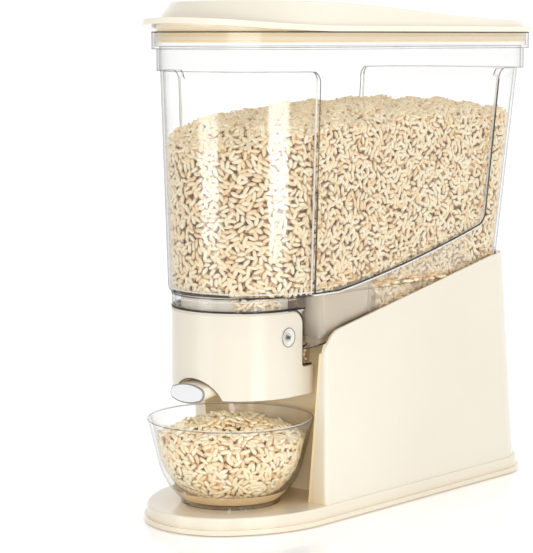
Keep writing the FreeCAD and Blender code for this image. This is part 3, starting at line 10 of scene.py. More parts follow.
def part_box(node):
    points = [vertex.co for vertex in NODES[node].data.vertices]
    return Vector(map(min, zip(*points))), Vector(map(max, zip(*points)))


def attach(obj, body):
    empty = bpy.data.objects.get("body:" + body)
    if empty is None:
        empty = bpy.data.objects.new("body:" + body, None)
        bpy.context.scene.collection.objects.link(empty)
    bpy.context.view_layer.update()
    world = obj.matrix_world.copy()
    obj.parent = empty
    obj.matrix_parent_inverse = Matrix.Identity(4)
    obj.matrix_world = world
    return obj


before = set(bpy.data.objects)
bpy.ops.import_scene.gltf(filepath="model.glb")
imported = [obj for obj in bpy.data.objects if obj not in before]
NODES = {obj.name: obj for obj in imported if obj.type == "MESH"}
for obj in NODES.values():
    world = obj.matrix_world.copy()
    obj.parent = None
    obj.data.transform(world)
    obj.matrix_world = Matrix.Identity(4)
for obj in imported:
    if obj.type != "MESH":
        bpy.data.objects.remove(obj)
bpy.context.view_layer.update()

# ---- camera: found from the outline of base, tower, rim and lid in the photograph --------------------

PHOTO_HEIGHT = 553
FOCAL_PIXELS = 2053.74
SENSOR = 36.0
# azimuth is from -Y towards +X, and fall is how far the view looks down, both in degrees
CAMERA_PLACE = (1.071385, -1.301040, 0.377660)
CAMERA_AZIMUTH = 41.36654
CAMERA_FALL = 6.71099

camera_data = bpy.data.cameras.new("camera")
camera_data.sensor_width = SENSOR
camera_data.lens = FOCAL_PIXELS * SENSOR / PHOTO_HEIGHT
camera_data.clip_start = 0.05
camera_data.clip_end = 60.0
camera = bpy.data.objects.new("camera", camera_data)
bpy.context.scene.collection.objects.link(camera)
camera_turn = Euler((math.radians(90 - CAMERA_FALL), 0.0, math.radians(CAMERA_AZIMUTH)))
camera.matrix_world = Matrix.LocRotScale(Vector(CAMERA_PLACE), camera_turn, None)
bpy.context.scene.camera = camera
bpy.context.scene.view_settings.view_transform = "Standard"
bpy.context.scene.cycles.transparent_max_bounces = 24

# ---- materials -------------------------------------------------------------------------------------


def srgb(red, green, blue):
    """A colour given as 0 to 255, as the linear values that shaders take."""
    parts = [c / 255 for c in (red, green, blue)]
    return tuple(c / 12.92 if c <= 0.04045 else ((c + 0.055) / 1.055) ** 2.4 for c in parts) + (1.0,)


def dim(colour, share):
    """That share of a colour, opaque."""
    return tuple(c * share for c in colour[:3]) + (1.0,)


BLACK = (0.0, 0.0, 0.0, 1.0)
PURE_WHITE = (1.0, 1.0, 1.0, 1.0)


class Shader:
    """A material's node tree with short ways to add and join nodes."""

    def __init__(self, name, principled=True):
        self.material = bpy.data.materials.new(name)
        self.material.use_nodes = True
        self.tree = self.material.node_tree
        self.main = self.tree.nodes["Principled BSDF"]
        self.output = self.tree.nodes["Material Output"]
        if not principled:
            self.tree.nodes.remove(self.main)

    def node(self, kind, **values):
        node = self.tree.nodes.new("ShaderNode" + kind)
        for name, value in values.items():
            key = name.replace("_", " ")
            if key in node.inputs:
                node.inputs[key].default_value = value
            else:
                setattr(node, name, value)
        return node

    def link(self, source, target):
        self.tree.links.new(source, target)

    def feed(self, source, name):
        """Joins the source to that input of the main shader."""
        self.link(source, self.main.inputs[name])

    def noise(self, scale, detail=2.0, roughness=0.5):
        node = self.node("TexNoise", Scale=scale, Detail=detail, Roughness=roughness)
        self.link(self.node("TexCoord").outputs["Object"], node.inputs["Vector"])
        return node.outputs["Fac"]

    def ramp(self, source, stops):
        node = self.node("ValToRGB")
        band = node.color_ramp
        band.elements.remove(band.elements[-1])
        band.elements[0].position, band.elements[0].color = stops[0]
        for place, colour in stops[1:]:
            band.elements.new(place).color = colour
        self.link(source, node.inputs["Fac"])
        return node.outputs["Color"]

    def spread(self, source, low, high):
        """The source's 0 to 1 as low to high."""
        node = self.node("MapRange")
        node.inputs["To Min"].default_value = low
        node.inputs["To Max"].default_value = high
        self.link(source, node.inputs["Value"])
        return node.outputs["Result"]

    def bump(self, source, strength, distance):
        node = self.node("Bump", Strength=strength, Distance=distance)
        self.link(source, node.inputs["Height"])
        return node.outputs["Normal"]

    def mixed(self, share, first, second):
        """Two shaders mixed; share is a number or a socket."""
        mix = self.node("MixShader")
        if isinstance(share, float):
            mix.inputs[0].default_value = share
        else:
            self.link(share, mix.inputs[0])
        self.link(first, mix.inputs[1])
        self.link(second, mix.inputs[2])
        return mix.outputs[0]

    def stained(self, colour, stain, share):
        """The colour darkened by a stain, by that share of it."""
        blend = self.node("MixRGB")
        blend.blend_type = "MULTIPLY"
        blend.inputs["Color2"].default_value = stain
        self.link(share, blend.inputs["Fac"])
        self.link(colour, blend.inputs["Color1"])
        return blend.outputs["Color"]

    def done(self, surface):
        """Joins a surface to the output and gives back the material."""
        self.link(surface, self.output.inputs["Surface"])
        return self.material


def plastic(name, colour, shade, roughness, bump=0.05, grain=1400.0, coat=0.0, corner_shade_colour=None):
    """Moulded plastic with a faint drift of colour, uneven gloss and a fine skin.

    Where other walls close it in, it takes a given warmer colour: painted shade that stands in for the warm
    light bounced into corners.
    """
    shader = Shader(name)
    drift = shader.noise(9.0, 3.0)
    own = shader.ramp(drift, [(0.3, shade), (0.7, colour)])
    if corner_shade_colour:
        open_share = shader.node("AmbientOcclusion", Distance=0.07, samples=6).outputs["AO"]
        corner_shade = shader.node("MixRGB")
        corner_shade.inputs["Color1"].default_value = corner_shade_colour
        shader.link(shader.ramp(open_share, [(0.15, BLACK), (0.56, PURE_WHITE)]), corner_shade.inputs["Fac"])
        shader.link(own, corner_shade.inputs["Color2"])
        own = corner_shade.outputs["Color"]
    shader.feed(own, "Base Color")
    shader.feed(shader.spread(shader.noise(60.0, 3.0), roughness * 0.82, roughness * 1.18), "Roughness")
    shader.feed(shader.bump(shader.noise(grain, 2.0), bump, 0.0001), "Normal")
    shader.main.inputs["Coat Weight"].default_value = coat
    shader.main.inputs["Coat Roughness"].default_value = 0.06
    return shader.material


def clear(name, tint, edge, haze, straight, last=0.35):
    """Clear wall: see-through face on, darker and more of a mirror towards its edges.

    straight is its mirror face on, and last is how much of the edge's colour is left along the very outline.
    """
    shader = Shader(name, principled=False)
    facing = shader.node("LayerWeight", Blend=0.5).outputs["Facing"]
    through = shader.node("BsdfTransparent")
    middle = tuple((a * 2 + b) / 3 for a, b in zip(tint, edge))
    stops = [(0.0, tint), (0.72, tint), (0.82, middle), (0.90, edge), (0.955, dim(edge, last))]
    shader.link(shader.ramp(facing, stops), through.inputs["Color"])
    cloud = shader.node("BsdfDiffuse", Color=haze)
    cloudy = shader.spread(shader.noise(40.0, 2.0), 0.003, 0.010)
    veil = shader.mixed(cloudy, through.outputs[0], cloud.outputs[0])
    gloss = shader.node("BsdfGlossy", Roughness=0.13)
    shader.link(shader.bump(shader.noise(12.0, 1.0), 0.03, 0.002), gloss.inputs["Normal"])
    curve = shader.node("Math", operation="POWER")
    curve.inputs[1].default_value = 5.0
    shader.link(facing, curve.inputs[0])
    mirror = shader.spread(curve.outputs[0], straight, 0.9)
    return shader.done(shader.mixed(mirror, veil, gloss.outputs[0]))


def metal(name, colour, roughness):
    """Plain bright metal with a faint grain."""
    shader = Shader(name)
    tones = [(0.3, dim(colour, 0.85)), (0.7, colour)]
    shader.feed(shader.ramp(shader.noise(300.0, 3.0), tones), "Base Color")
    shader.main.inputs["Metallic"].default_value = 1.0
    shader.feed(shader.spread(shader.noise(500.0, 2.0), roughness * 0.7, roughness * 1.3), "Roughness")
    return shader.material


def grain_material(name, dark, middle, pale, painted_glow=0.0):
    """Husked grain: each one has its own tone, with browner tips and a browner crease.

    The emission is painted light: an even glow that brightens grain lying in shade.
    """
    shader = Shader(name)
    island = shader.node("NewGeometry").outputs["Random Per Island"]
    own = shader.ramp(island, [(0.0, dark), (0.35, middle), (0.8, pale), (1.0, middle)])
    mark = shader.node("Attribute", attribute_name="mark").outputs["Fac"]
    streak = shader.noise(700.0, 3.0)
    browned = shader.stained(own, srgb(196, 146, 92), shader.spread(mark, 0.0, 0.6))
    flecked = shader.stained(browned, srgb(232, 208, 170), shader.spread(streak, 0.0, 0.35))
    shader.feed(flecked, "Base Color")
    shader.feed(flecked, "Emission Color")
    shader.main.inputs["Emission Strength"].default_value = painted_glow
    shader.main.inputs["Roughness"].default_value = 0.34
    shader.feed(shader.bump(streak, 0.35, 0.0003), "Normal")
    return shader.material


def gap_shade_material(name, dark, pale, scale):
    """Painted shade: the dark brown seen between the grains, a solid that stands in for the shaded grain
    further in.
    """
    shader = Shader(name)
    noise = shader.noise(scale, 4.0, 0.6)
    shader.feed(shader.ramp(noise, [(0.35, dark), (0.7, pale)]), "Base Color")
    shader.main.inputs["Roughness"].default_value = 0.8
    shader.feed(shader.bump(noise, 1.0, 0.002), "Normal")
    return shader.material


def thin_edge(name, colour, gloss):
    """What light does in a clear wall's sharp edge: it darkens what is behind and glints a little."""
    shader = Shader(name, principled=False)
    through = shader.node("BsdfTransparent")
    shader.link(shader.ramp(shader.noise(90.0, 2.0), [(0.3, dim(colour, 0.88)), (0.7, colour)]),
                through.inputs["Color"])
    glint = shader.node("BsdfGlossy", Roughness=0.12)
    return shader.done(shader.mixed(gloss, through.outputs[0], glint.outputs[0]))


def painted_light_sheet(name, colour, share):
    """A thin see-through layer of diffuse colour, used to paint light: glints, highlights and brightening
    where there is shade.
    """
    shader = Shader(name, principled=False)
    through = shader.node("BsdfTransparent")
    painted_colour = shader.node("BsdfDiffuse", Color=colour)
    cover = shader.spread(shader.noise(60.0, 2.0), share * 0.8, share * 1.2)
    return shader.done(shader.mixed(cover, through.outputs[0], painted_colour.outputs[0]))


# Painted shade: the warmer colours that the creams take in enclosed corners.
CREAM_CORNER_SHADE = srgb(236, 211, 164)
LID_CORNER_SHADE = srgb(242, 217, 170)
CREAM = plastic("cream_gloss", srgb(231, 224, 207), srgb(228, 220, 203), 0.17, coat=0.3, corner_shade_colour=CREAM_CORNER_SHADE)
# Painted light: the lid's cream is a lighter copy of the same cream plastic.
LID_CREAM_LIT = plastic("lid_cream_painted_light", srgb(246, 238, 220), srgb(243, 235, 216), 0.17, coat=0.3, corner_shade_colour=LID_CORNER_SHADE)
# Painted shade: the cover's and funnel's cream is a darker copy of the same cream plastic.
COVER_CREAM_SHADED = plastic("cover_cream_painted_shade", srgb(223, 215, 198), srgb(220, 212, 194), 0.17, coat=0.3,
                      corner_shade_colour=CREAM_CORNER_SHADE)
LEVER_CREAM = plastic("lever_cream", srgb(242, 234, 214), srgb(236, 226, 204), 0.15, coat=0.4)
# Painted shade: the bay liner's cream is the same plastic made warmer, for the warm light bounced inside the
# recess.
BAY_PAINTED_WARMTH = plastic("bay_cream_painted_warmth", srgb(250, 230, 190), srgb(245, 222, 180), 0.16, coat=0.3)
WHITE = plastic("pad_white", srgb(229, 229, 230), srgb(222, 223, 225), 0.3)
GREY = plastic("ring_grey", srgb(150, 148, 144), srgb(132, 130, 126), 0.2)
SILICONE = plastic("silicone", srgb(236, 224, 198), srgb(230, 217, 190), 0.55, 0.12, 900.0)
RUBBER = plastic("foot_rubber", srgb(62, 61, 60), srgb(48, 47, 46), 0.7, 0.25, 700.0)
GASKET = plastic("gasket_pale", srgb(214, 206, 192), srgb(200, 191, 176), 0.5, 0.1, 900.0)
STEEL = metal("steel", srgb(196, 196, 198), 0.24)
CAP = metal("cap_bright", srgb(248, 246, 240), 0.3)
CAP_RING = plastic("cap_ring", srgb(92, 87, 78), srgb(74, 70, 63), 0.4)
DOT = plastic("cap_dot", srgb(70, 68, 66), srgb(52, 50, 48), 0.3)
CLEAR = clear("clear_plastic", (0.998, 0.998, 0.997, 1.0), (0.40, 0.39, 0.38, 1.0), srgb(252, 250, 246),
              0.052)
SMOKE = clear("clear_tip", (0.90, 0.87, 0.83, 1.0), (0.24, 0.22, 0.21, 1.0), srgb(220, 212, 204), 0.05)
GLASS = clear("bowl_glass", (0.992, 0.995, 0.992, 1.0), (0.88, 0.885, 0.88, 1.0), srgb(246, 248, 248),
              0.045, last=0.62)
GRAIN = grain_material("grain", srgb(247, 221, 176), srgb(255, 239, 202), srgb(255, 249, 224))
# Painted light: the grain on the heaps' tops is a paler copy of the grain that also glows.
GRAIN_TOP_PAINTED_LIGHT = grain_material("grain_on_top_painted_light", srgb(251, 228, 184), srgb(255, 243, 208), srgb(255, 250, 226),
                            painted_glow=0.11)
# Painted shade: the grain in the layers below is a darker copy of the same grain.
GRAIN_DEEP_SHADED = grain_material("grain_below_painted_shade", srgb(226, 184, 126), srgb(240, 202, 146), srgb(248, 218, 166))
GAP_SHADE = gap_shade_material("between_grains_painted_shade", srgb(128, 86, 42), srgb(166, 120, 70), 260.0)
CHUTE_PAINTED_SHADE = plastic("chute_shade", srgb(210, 195, 172), srgb(196, 181, 158), 0.22)
CHUTE_PAINTED_LIGHT = painted_light_sheet("chute_painted_light", srgb(252, 240, 216), 0.30)
NECK_PAINTED_LIGHT = painted_light_sheet("neck_painted_light", srgb(255, 247, 230), 0.8)
BASE_PAINTED_LIGHT = painted_light_sheet("bowl_base_painted_light", srgb(246, 216, 170), 0.72)
# Painted highlights: pale see-through rods along the clear walls' edges, standing in for their glints.
PAINTED_GLINT = painted_light_sheet("edge_painted_glint", srgb(255, 253, 248), 0.5)
PAINTED_HIGHLIGHT = painted_light_sheet("edge_painted_highlight", srgb(255, 254, 250), 0.8)
DARK_EDGE = thin_edge("edge_dark", (0.50, 0.49, 0.48, 1.0), 0.06)
COVER_EDGE = thin_edge("edge_cover", (0.26, 0.25, 0.24, 1.0), 0.10)
SOFT_EDGE = thin_edge("edge_soft", (0.74, 0.74, 0.73, 1.0), 0.12)

SCREWS = [name for name in NODES if name.startswith("base_screw")]
FINISH = {
    BAY_PAINTED_WARMTH: ["bay_liner"],
    CREAM: ["base_plate", "tower_shell", "saddle_deck"],
    LID_CREAM_LIT: ["lid_shell", "lid_skirt"],
    COVER_CREAM_SHADED: ["spout_cover", "outlet_funnel"],
    LEVER_CREAM: ["lever_arm", "gate_flap"],
    WHITE: ["push_pad"],
    GREY: ["push_pad_ring"],
    SILICONE: ["lid_seal", "deck_pad_left", "deck_pad_right"],
    RUBBER: ["foot_front_left", "foot_front_right", "foot_rear_left", "foot_rear_right"],
    GASKET: ["neck_gasket"],
    STEEL: ["return_spring", "pivot_pin_left", "pivot_pin_right"] + SCREWS,
    CAP: ["pivot_cap_left", "pivot_cap_right"],
    CLEAR: ["hopper_shell", "hopper_chute"],
    SMOKE: ["outlet_tip"],
    GLASS: ["glass_bowl"],
}
for material, names in FINISH.items():
    for name in names:
        node = NODES[name]
        if not node.material_slots:
            node.data.materials.append(material)
        for slot in node.material_slots:
            slot.material = material

# ---- meshes ----------------------------------------------------------------------------------------


def make_mesh(name, points, faces, material, body, smooth=True, marks=None):
    """A piece from arrays of points and of faces, which all have the same number of corners."""
    points = np.asarray(points, dtype=np.float32)
    faces = np.asarray(faces, dtype=np.int32)
    corners = faces.shape[1]
    mesh = bpy.data.meshes.new(name)
    mesh.vertices.add(len(points))
    mesh.vertices.foreach_set("co", points.ravel())
    mesh.loops.add(faces.size)
    mesh.loops.foreach_set("vertex_index", faces.ravel())
    mesh.polygons.add(len(faces))
    mesh.polygons.foreach_set("loop_start", np.arange(0, faces.size, corners, dtype=np.int32))
    mesh.polygons.foreach_set("use_smooth", np.full(len(faces), smooth))
    if marks is not None:
        layer = mesh.attributes.new("mark", "FLOAT", "POINT")
        layer.data.foreach_set("value", np.asarray(marks, dtype=np.float32))
    mesh.update(calc_edges=True)
    mesh.materials.append(material)
    piece = bpy.data.objects.new(name, mesh)
    bpy.context.scene.collection.objects.link(piece)
    if body:
        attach(piece, body)
    return piece


def grid_faces(count, rows, closed=False, first=0):
    """Faces between columns of points, from index first on; closed joins the last column to the first."""
    faces = []
    for column in range(count if closed else count - 1):
        here = first + column * rows
        after = first + (column + 1) % count * rows
        faces += [(here + k, after + k, after + k + 1, here + k + 1) for k in range(rows - 1)]
    return faces


def sheet(name, columns, material, body, closed=False):
    """A piece from columns of points that stand side by side."""
    points = [point for column in columns for point in column]
    return make_mesh(name, points, grid_faces(len(columns), len(columns[0]), closed), material, body)


def unit(vectors):
    return vectors / np.maximum(np.linalg.norm(vectors, axis=1, keepdims=True), 1e-9)


def evenly(first, last, count):
    """That many numbers from first to last."""
    return [first + (last - first) * k / (count - 1) for k in range(count)]


def upright(turns):
    """Level directions at those angles, from -Y towards +X."""
    return np.stack([np.sin(turns), -np.cos(turns), np.zeros(len(turns))], axis=1)


def normals_of(height, x, y, step):
    """Normals of the surface whose height is that function of x and y."""
    slope_x = (height(x + step, y) - height(x - step, y)) / (2 * step)
    slope_y = (height(x, y + step) - height(x, y - step)) / (2 * step)
    return unit(np.stack([-slope_x, -slope_y, np.ones_like(slope_x)], axis=1))


# ---- grains ----------------------------------------------------------------------------------------

# most faces to a piece; then how much the grains' depth and roll vary, and their height by width
MOST_FACES = 180000
DEPTH_SPREAD = 0.00025
ROLL = 0.35
FLATNESS = 0.82
rng = np.random.default_rng(7)


def grain_shape(sides, rings, crease):
    """A spindle along X with a crease along one side: its points, triangles and how brown each point is."""
    points, marks = [(-1.0, 0.0, 0.0)], [1.0]
    for along, size in rings:
        for k in range(sides):
            turn = 2 * math.pi * k / sides
            reach = size * (1 - crease) if k == 0 else size
            points.append((along, reach * math.sin(turn), reach * math.cos(turn)))
            marks.append(0.30 if k == 0 else 0.10 * abs(along))
    points.append((1.0, 0.0, 0.0))
    marks.append(1.0)
    last = len(points) - 1
    faces = []
    for k in range(sides):
        after = (k + 1) % sides
        faces.append((0, 1 + after, 1 + k))
        faces.append((last, last - sides + k, last - sides + after))
        for ring in range(len(rings) - 1):
            low, high = 1 + ring * sides, 1 + (ring + 1) * sides
            faces.append((low + k, low + after, high + after))
            faces.append((low + k, high + after, high + k))
    return np.array(points), np.array(faces), np.array(marks)


FINE = grain_shape(8, [(-0.76, 0.56), (-0.34, 0.93), (0.14, 1.0), (0.64, 0.70)], 0.2)
COARSE = grain_shape(6, [(-0.62, 0.74), (0.0, 1.0), (0.6, 0.76)], 0.2)


def flow(points, normals, wander):
    """Directions along the surface that turn slowly, so that neighbours lie nearly alike."""
    x, y, z = points.T
    field = np.stack([np.sin(x * 210 + 1.3 * np.sin(z * 160)) + np.sin(z * 330 + y * 120 + 0.7),
                      np.sin(y * 240 + 1.7 * np.sin(x * 190 + 2.0)) + np.sin(x * 310 - z * 140),
                      np.sin(z * 230 + 1.5 * np.sin(y * 170)) + np.sin(y * 290 + x * 150 + 2.1)], axis=1)
    field = unit(field) + rng.normal(scale=wander, size=points.shape)
    return unit(field - normals * (field * normals).sum(axis=1, keepdims=True))


def spread_out(points, ways, length, width):
    """Indices of grains that keep clear of those kept before; length and width are what each one needs."""
    cells, kept = {}, []
    keys = np.floor(points / length).astype(int).tolist()
    steps = [(i, j, k) for i in (-1, 0, 1) for j in (-1, 0, 1) for k in (-1, 0, 1)]

    def neighbours(key):
        """The grains kept so far in the cells round this one."""
        for i, j, k in steps:
            yield from cells.get((key[0] + i, key[1] + j, key[2] + k), ())

    def clash(point, way, other, turn):
        """Whether one grain lies in the long oval that the other one needs."""
        x, y, z = other[0] - point[0], other[1] - point[1], other[2] - point[2]
        square = x * x + y * y + z * z
        if square > length * length:
            return False
        mine = (x * way[0] + y * way[1] + z * way[2]) ** 2
        its = (x * turn[0] + y * turn[1] + z * turn[2]) ** 2
        along = (mine + its) / 2
        return along / length ** 2 + (square - along) / width ** 2 < 1

    for index, (key, point, way) in enumerate(zip(keys, points.tolist(), ways.tolist())):
        if not any(clash(point, way, other, turn) for other, turn in neighbours(key)):
            cells.setdefault(tuple(key), []).append((point, way))
            kept.append(index)
    return np.array(kept, dtype=int)


def lay_grains(name, body, size, points, normals, room, wander, tilt, depth, shape, material):
    """Grains that lie along the surface through the points, at that depth under it.

    size is a grain's length and width, and room the shares of them that it keeps free of other grains.
    wander turns grains from the flow, and tilt lifts their ends off the surface.
    """
    ways = flow(points, normals, wander)
    kept = spread_out(points, ways, size[0] * room[0], size[1] * room[1])
    normals, ways = normals[kept], ways[kept]
    count = len(kept)
    centres = points[kept] + normals * (depth + rng.normal(0, DEPTH_SPREAD, (count, 1)))
    template, faces, marks = shape
    along = unit(ways + normals * rng.normal(scale=tilt, size=(count, 1)))
    across = unit(np.cross(unit(normals + unit(rng.normal(size=(count, 3))) * ROLL), along))
    up = np.cross(along, across)
    length = size[0] / 2 * rng.normal(1.0, 0.09, (count, 1, 1)).clip(0.78, 1.22)
    width = size[1] / 2 * rng.normal(1.0, 0.08, (count, 1, 1)).clip(0.8, 1.2)
    x, y, z = (template[None, :, k:k + 1] for k in range(3))
    points = (centres[:, None] + along[:, None] * x * length + across[:, None] * y * width
              + up[:, None] * z * width * FLATNESS)
    most = MOST_FACES // len(faces)
    for number, start in enumerate(range(0, count, most)):
        part = points[start:start + most]
        shift = np.arange(len(part))[:, None, None] * len(template)
        make_mesh(f"{name}_{number + 1}", part.reshape(-1, 3), (faces[None] + shift).reshape(-1, 3),
                  material, body, True, np.tile(marks, len(part)))


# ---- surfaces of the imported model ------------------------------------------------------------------

# smaller triangles have no sure normal, and corners that fall in one step of 1 / SPOTS_PER_METRE are one
LEAST_AREA = 1e-10
SPOTS_PER_METRE = 2e5


class Surface:
    """The triangles of one or more nodes, with the ones that line their hollow and their sharp edges."""

    def __init__(self, *names):
        points, triangles, count = [], [], 0
        for name in names:
            mesh = NODES[name].data
            mesh.calc_loop_triangles()
            spots = np.empty(len(mesh.vertices) * 3)
            mesh.vertices.foreach_get("co", spots)
            corners = np.empty(len(mesh.loop_triangles) * 3, dtype=np.int32)
            mesh.loop_triangles.foreach_get("vertices", corners)
            points.append(spots.reshape(-1, 3))
            triangles.append(corners.reshape(-1, 3) + count)
            count += len(mesh.vertices)
        points, triangles = np.concatenate(points), np.concatenate(triangles)
        self.corners = points[triangles]
        self.middles = self.corners.mean(axis=1)
        crossed = np.cross(self.corners[:, 1] - self.corners[:, 0], self.corners[:, 2] - self.corners[:, 0])
        self.areas = np.linalg.norm(crossed, axis=1) / 2
        self.normals = unit(crossed)
        self.tree = BVHTree.FromPolygons([Vector(p) for p in points], triangles.tolist())

    def sharp_edges(self, least):
        """Ends, both normals and bulge of the edges that turn by more than least degrees.

        bulge is below zero in a groove.
        """
        real = self.areas > LEAST_AREA
        corners, normals = self.corners[real], self.normals[real]
        spots = np.round(corners.reshape(-1, 3) * SPOTS_PER_METRE).astype(np.int64)
        codes = np.unique(spots, axis=0, return_inverse=True)[1].reshape(-1, 3)
        sides = {}
        for index, trio in enumerate(codes.tolist()):
            for k in range(3):
                a, b = trio[k], trio[(k + 1) % 3]
                sides.setdefault((min(a, b), max(a, b)), []).append((index, k))
        pairs = [pair for pair in sides.values() if len(pair) == 2]
        one = np.array([pair[0] for pair in pairs])
        two = np.array([pair[1] for pair in pairs])
        first, second = normals[one[:, 0]], normals[two[:, 0]]
        start = corners[one[:, 0], one[:, 1]]
        end = corners[one[:, 0], (one[:, 1] + 1) % 3]
        apex = corners[two[:, 0], (two[:, 1] + 2) % 3]
        bulge = -((apex - start) * first).sum(axis=1)
        turned = (first * second).sum(axis=1) < math.cos(math.radians(least))
        return start[turned], end[turned], first[turned], second[turned], bulge[turned]

    def reach(self, start, direction):
        """Distance from start to the first wall that way, or None."""
        return self.tree.ray_cast(Vector(start), Vector(direction))[3]

    def lining(self, room):
        """Which triangles look across the hollow at another wall, at least room away."""
        found = np.zeros(len(self.middles), dtype=bool)
        for index, (middle, normal) in enumerate(zip(self.middles, self.normals)):
            far = self.reach(middle + normal * 0.0004, normal)
            found[index] = far is not None and far > room
        return found

    def sample(self, chosen, density):
        """Points spread over the chosen triangles, that many to the square metre, with their normals."""
        indices = np.flatnonzero(chosen)
        areas = self.areas[indices]
        picks = rng.choice(indices, size=int(areas.sum() * density), p=areas / areas.sum())
        u, v = rng.random((2, len(picks), 1))
        flip = (u + v) > 1
        u, v = np.where(flip, 1 - u, u), np.where(flip, 1 - v, v)
        a, b, c = (self.corners[picks, k] for k in range(3))
        return a + (b - a) * u + (c - a) * v, self.normals[picks]


# ---- grain in the hopper ---------------------------------------------------------------------------

# a grain's length and width
GRAIN_SIZE = (0.0089, 0.0035)
LEVEL_WAYS = ((1, 0, 0), (-1, 0, 0), (0, 1, 0), (0, -1, 0))
# centre of the round front, rear of the neck and floor of its grain, rear end of the bare stretch
# along the floor, and the height up to which grain is laid on the walls
NOSE_Y = -0.1011
NECK_BACK = -0.094
NECK_FLOOR = 0.1802
NO_GRAIN_Y = -0.030
WALL_GRAIN_TOP = 0.335
# least width of the hollow, height below which its floor counts too, and the heap's least way to a wall
HOLLOW = 0.012
LOW_FLOOR = 0.205
TOP_ROOM = 0.0022
# spots of y and z along the heap's middle, its fall to the walls, and how far off they are aside and in front
HEAP_TOP = ((-0.172, 0.299), (-0.146, 0.304), (-0.135, 0.311), (-0.100, 0.3165), (-0.050, 0.3205),
            (0.0, 0.3235), (0.066, 0.3245), (0.108, 0.3225), (0.144, 0.3205), (0.180, 0.3145))
HEAP_FALL = 0.012
HEAP_HALF = (0.068, 0.070)
PANEL_LOW = ((-0.1067, 0.1808), (-0.0769, 0.1808), (-0.031, 0.1868), (0.028, 0.1992), (0.082, 0.2114),
             (0.105, 0.219))


def height_on(spots, y):
    """Height at y of the line through spots of y and z."""
    return np.interp(y, *zip(*spots))


def heap(x, y):
    """Height of the grain's top in the hopper: a long low mound that falls to the walls."""
    aside = np.abs(x) / HEAP_HALF[0]
    off = np.where(y < NOSE_Y, np.hypot(x / HEAP_HALF[0], (y - NOSE_Y) / HEAP_HALF[1]), aside)
    lumps = 0.0016 * np.sin(x * 95 + 1.0) * np.sin(y * 61) + 0.001 * np.sin(x * 210 + y * 140)
    return height_on(HEAP_TOP, y) - HEAP_FALL * np.minimum(off, 1.1) ** 3 + lumps


def panel_low(y):
    """Lower edge of the side panels: in front, what is under it is bare clear plastic."""
    return height_on(PANEL_LOW, y)


def bare(points):
    """Places along the wall that no grain reaches."""
    x, y, z = points.T
    ragged = 0.004 * np.sin(z * 900 + x * 300) + 0.5 * (panel_low(y) - z)
    front = (y < NO_GRAIN_Y + ragged) & (z < panel_low(y) + 0.0006)
    return front | ((y < NECK_BACK) & (z < NECK_FLOOR))


hopper = Surface("hopper_shell", "hopper_chute")
low_floor = (hopper.normals[:, 2] > 0.5) & (hopper.middles[:, 2] < LOW_FLOOR)
walls = (hopper.lining(HOLLOW) | low_floor) & (hopper.middles[:, 2] < WALL_GRAIN_TOP)
# The layer behind is darker grain: painted shade.
# label, grains tried to the square metre, and how they are laid
WALL_LAYERS = (
    ("grain_wall", 1200000,
     dict(room=(0.78, 0.84), wander=0.38, tilt=0.10, depth=0.0018, shape=FINE, material=GRAIN)),
    ("grain_behind", 300000,
     dict(room=(0.78, 0.92), wander=0.55, tilt=0.22, depth=0.0042, shape=COARSE, material=GRAIN_DEEP_SHADED)),
)
for label, density, how in WALL_LAYERS:
    points, normals = hopper.sample(walls, density)
    below = (points[:, 2] < heap(points[:, 0], points[:, 1]) - 0.0012) & ~bare(points)
    lay_grains(label, "hopper", GRAIN_SIZE, points[below], normals[below], **how)

TOP_X = (-0.073, 0.073)
TOP_Y = (-0.172, 0.182)
# Painted light and shade: the top layer is a paler, glowing copy of the grain and the layer under it a darker
# copy.
# label, grains tried in all, and how they are laid
TOP_LAYERS = (
    ("grain_top", 42000,
     dict(room=(0.70, 0.80), wander=0.6, tilt=0.42, depth=-0.0006, shape=FINE, material=GRAIN_TOP_PAINTED_LIGHT)),
    ("grain_under", 16000,
     dict(room=(0.74, 0.95), wander=0.6, tilt=0.25, depth=-0.0028, shape=COARSE, material=GRAIN_DEEP_SHADED)),
)
for label, candidates, how in TOP_LAYERS:
    x = rng.uniform(*TOP_X, candidates)
    y = rng.uniform(*TOP_Y, candidates)
    spots = np.stack([x, y, heap(x, y)], axis=1)
    inside = np.array([all((hopper.reach(spot, way) or 0) > TOP_ROOM for way in LEVEL_WAYS)
                       for spot in spots])
    normals = normals_of(heap, x[inside], y[inside], 0.002)
    lay_grains(label, "hopper", GRAIN_SIZE, spots[inside], normals, **how)


FIRST_GUESS = 0.04
USUAL_REACH = 0.06
LEAST_REACH = 0.003


def between(low, high, share):
    return low * (1 - share) + high * share


def filler(name, surface, stations, low, high, margin, levels, body, material):
    """A lump inside the walls: columns of points a margin in from the wall, closed at its top and bottom.

    Each station is an origin and the level way that its column is looked for; low and high give the heights.
    """
    columns = []
    for (x, y), way in stations:
        column, last = [], None
        for level in range(levels):
            share = level / (levels - 1)
            spot = Vector((x, y, 0.0)) + way * FIRST_GUESS
            height = between(low(spot.x, spot.y), high(spot.x, spot.y), share)
            reach = surface.reach((x, y, height), way)
            if reach is None or reach < margin + LEAST_REACH:
                reach = last or USUAL_REACH
            last = reach
            point = Vector((x, y, 0.0)) + way * (reach - margin)
            column.append((point.x, point.y, between(low(point.x, point.y), high(point.x, point.y), share)))
        under, over = [[(x + (end[0] - x) * k, y + (end[1] - y) * k) for k in (0.0, 0.33, 0.66)]
                       for end in (column[0], column[-1])]
        columns.append([(*spot, low(*spot)) for spot in under] + column
                       + [(*spot, high(*spot)) for spot in reversed(over)])
    return sheet(name, columns, material, body, closed=True)


def around(centre, first, last, steps):
    """Stations about one centre; angles are from -Y towards +X, in degrees."""
    turns = [math.radians(turn) for turn in evenly(first, last, steps)]
    return [(centre, Vector((math.sin(t), -math.cos(t), 0.0))) for t in turns]


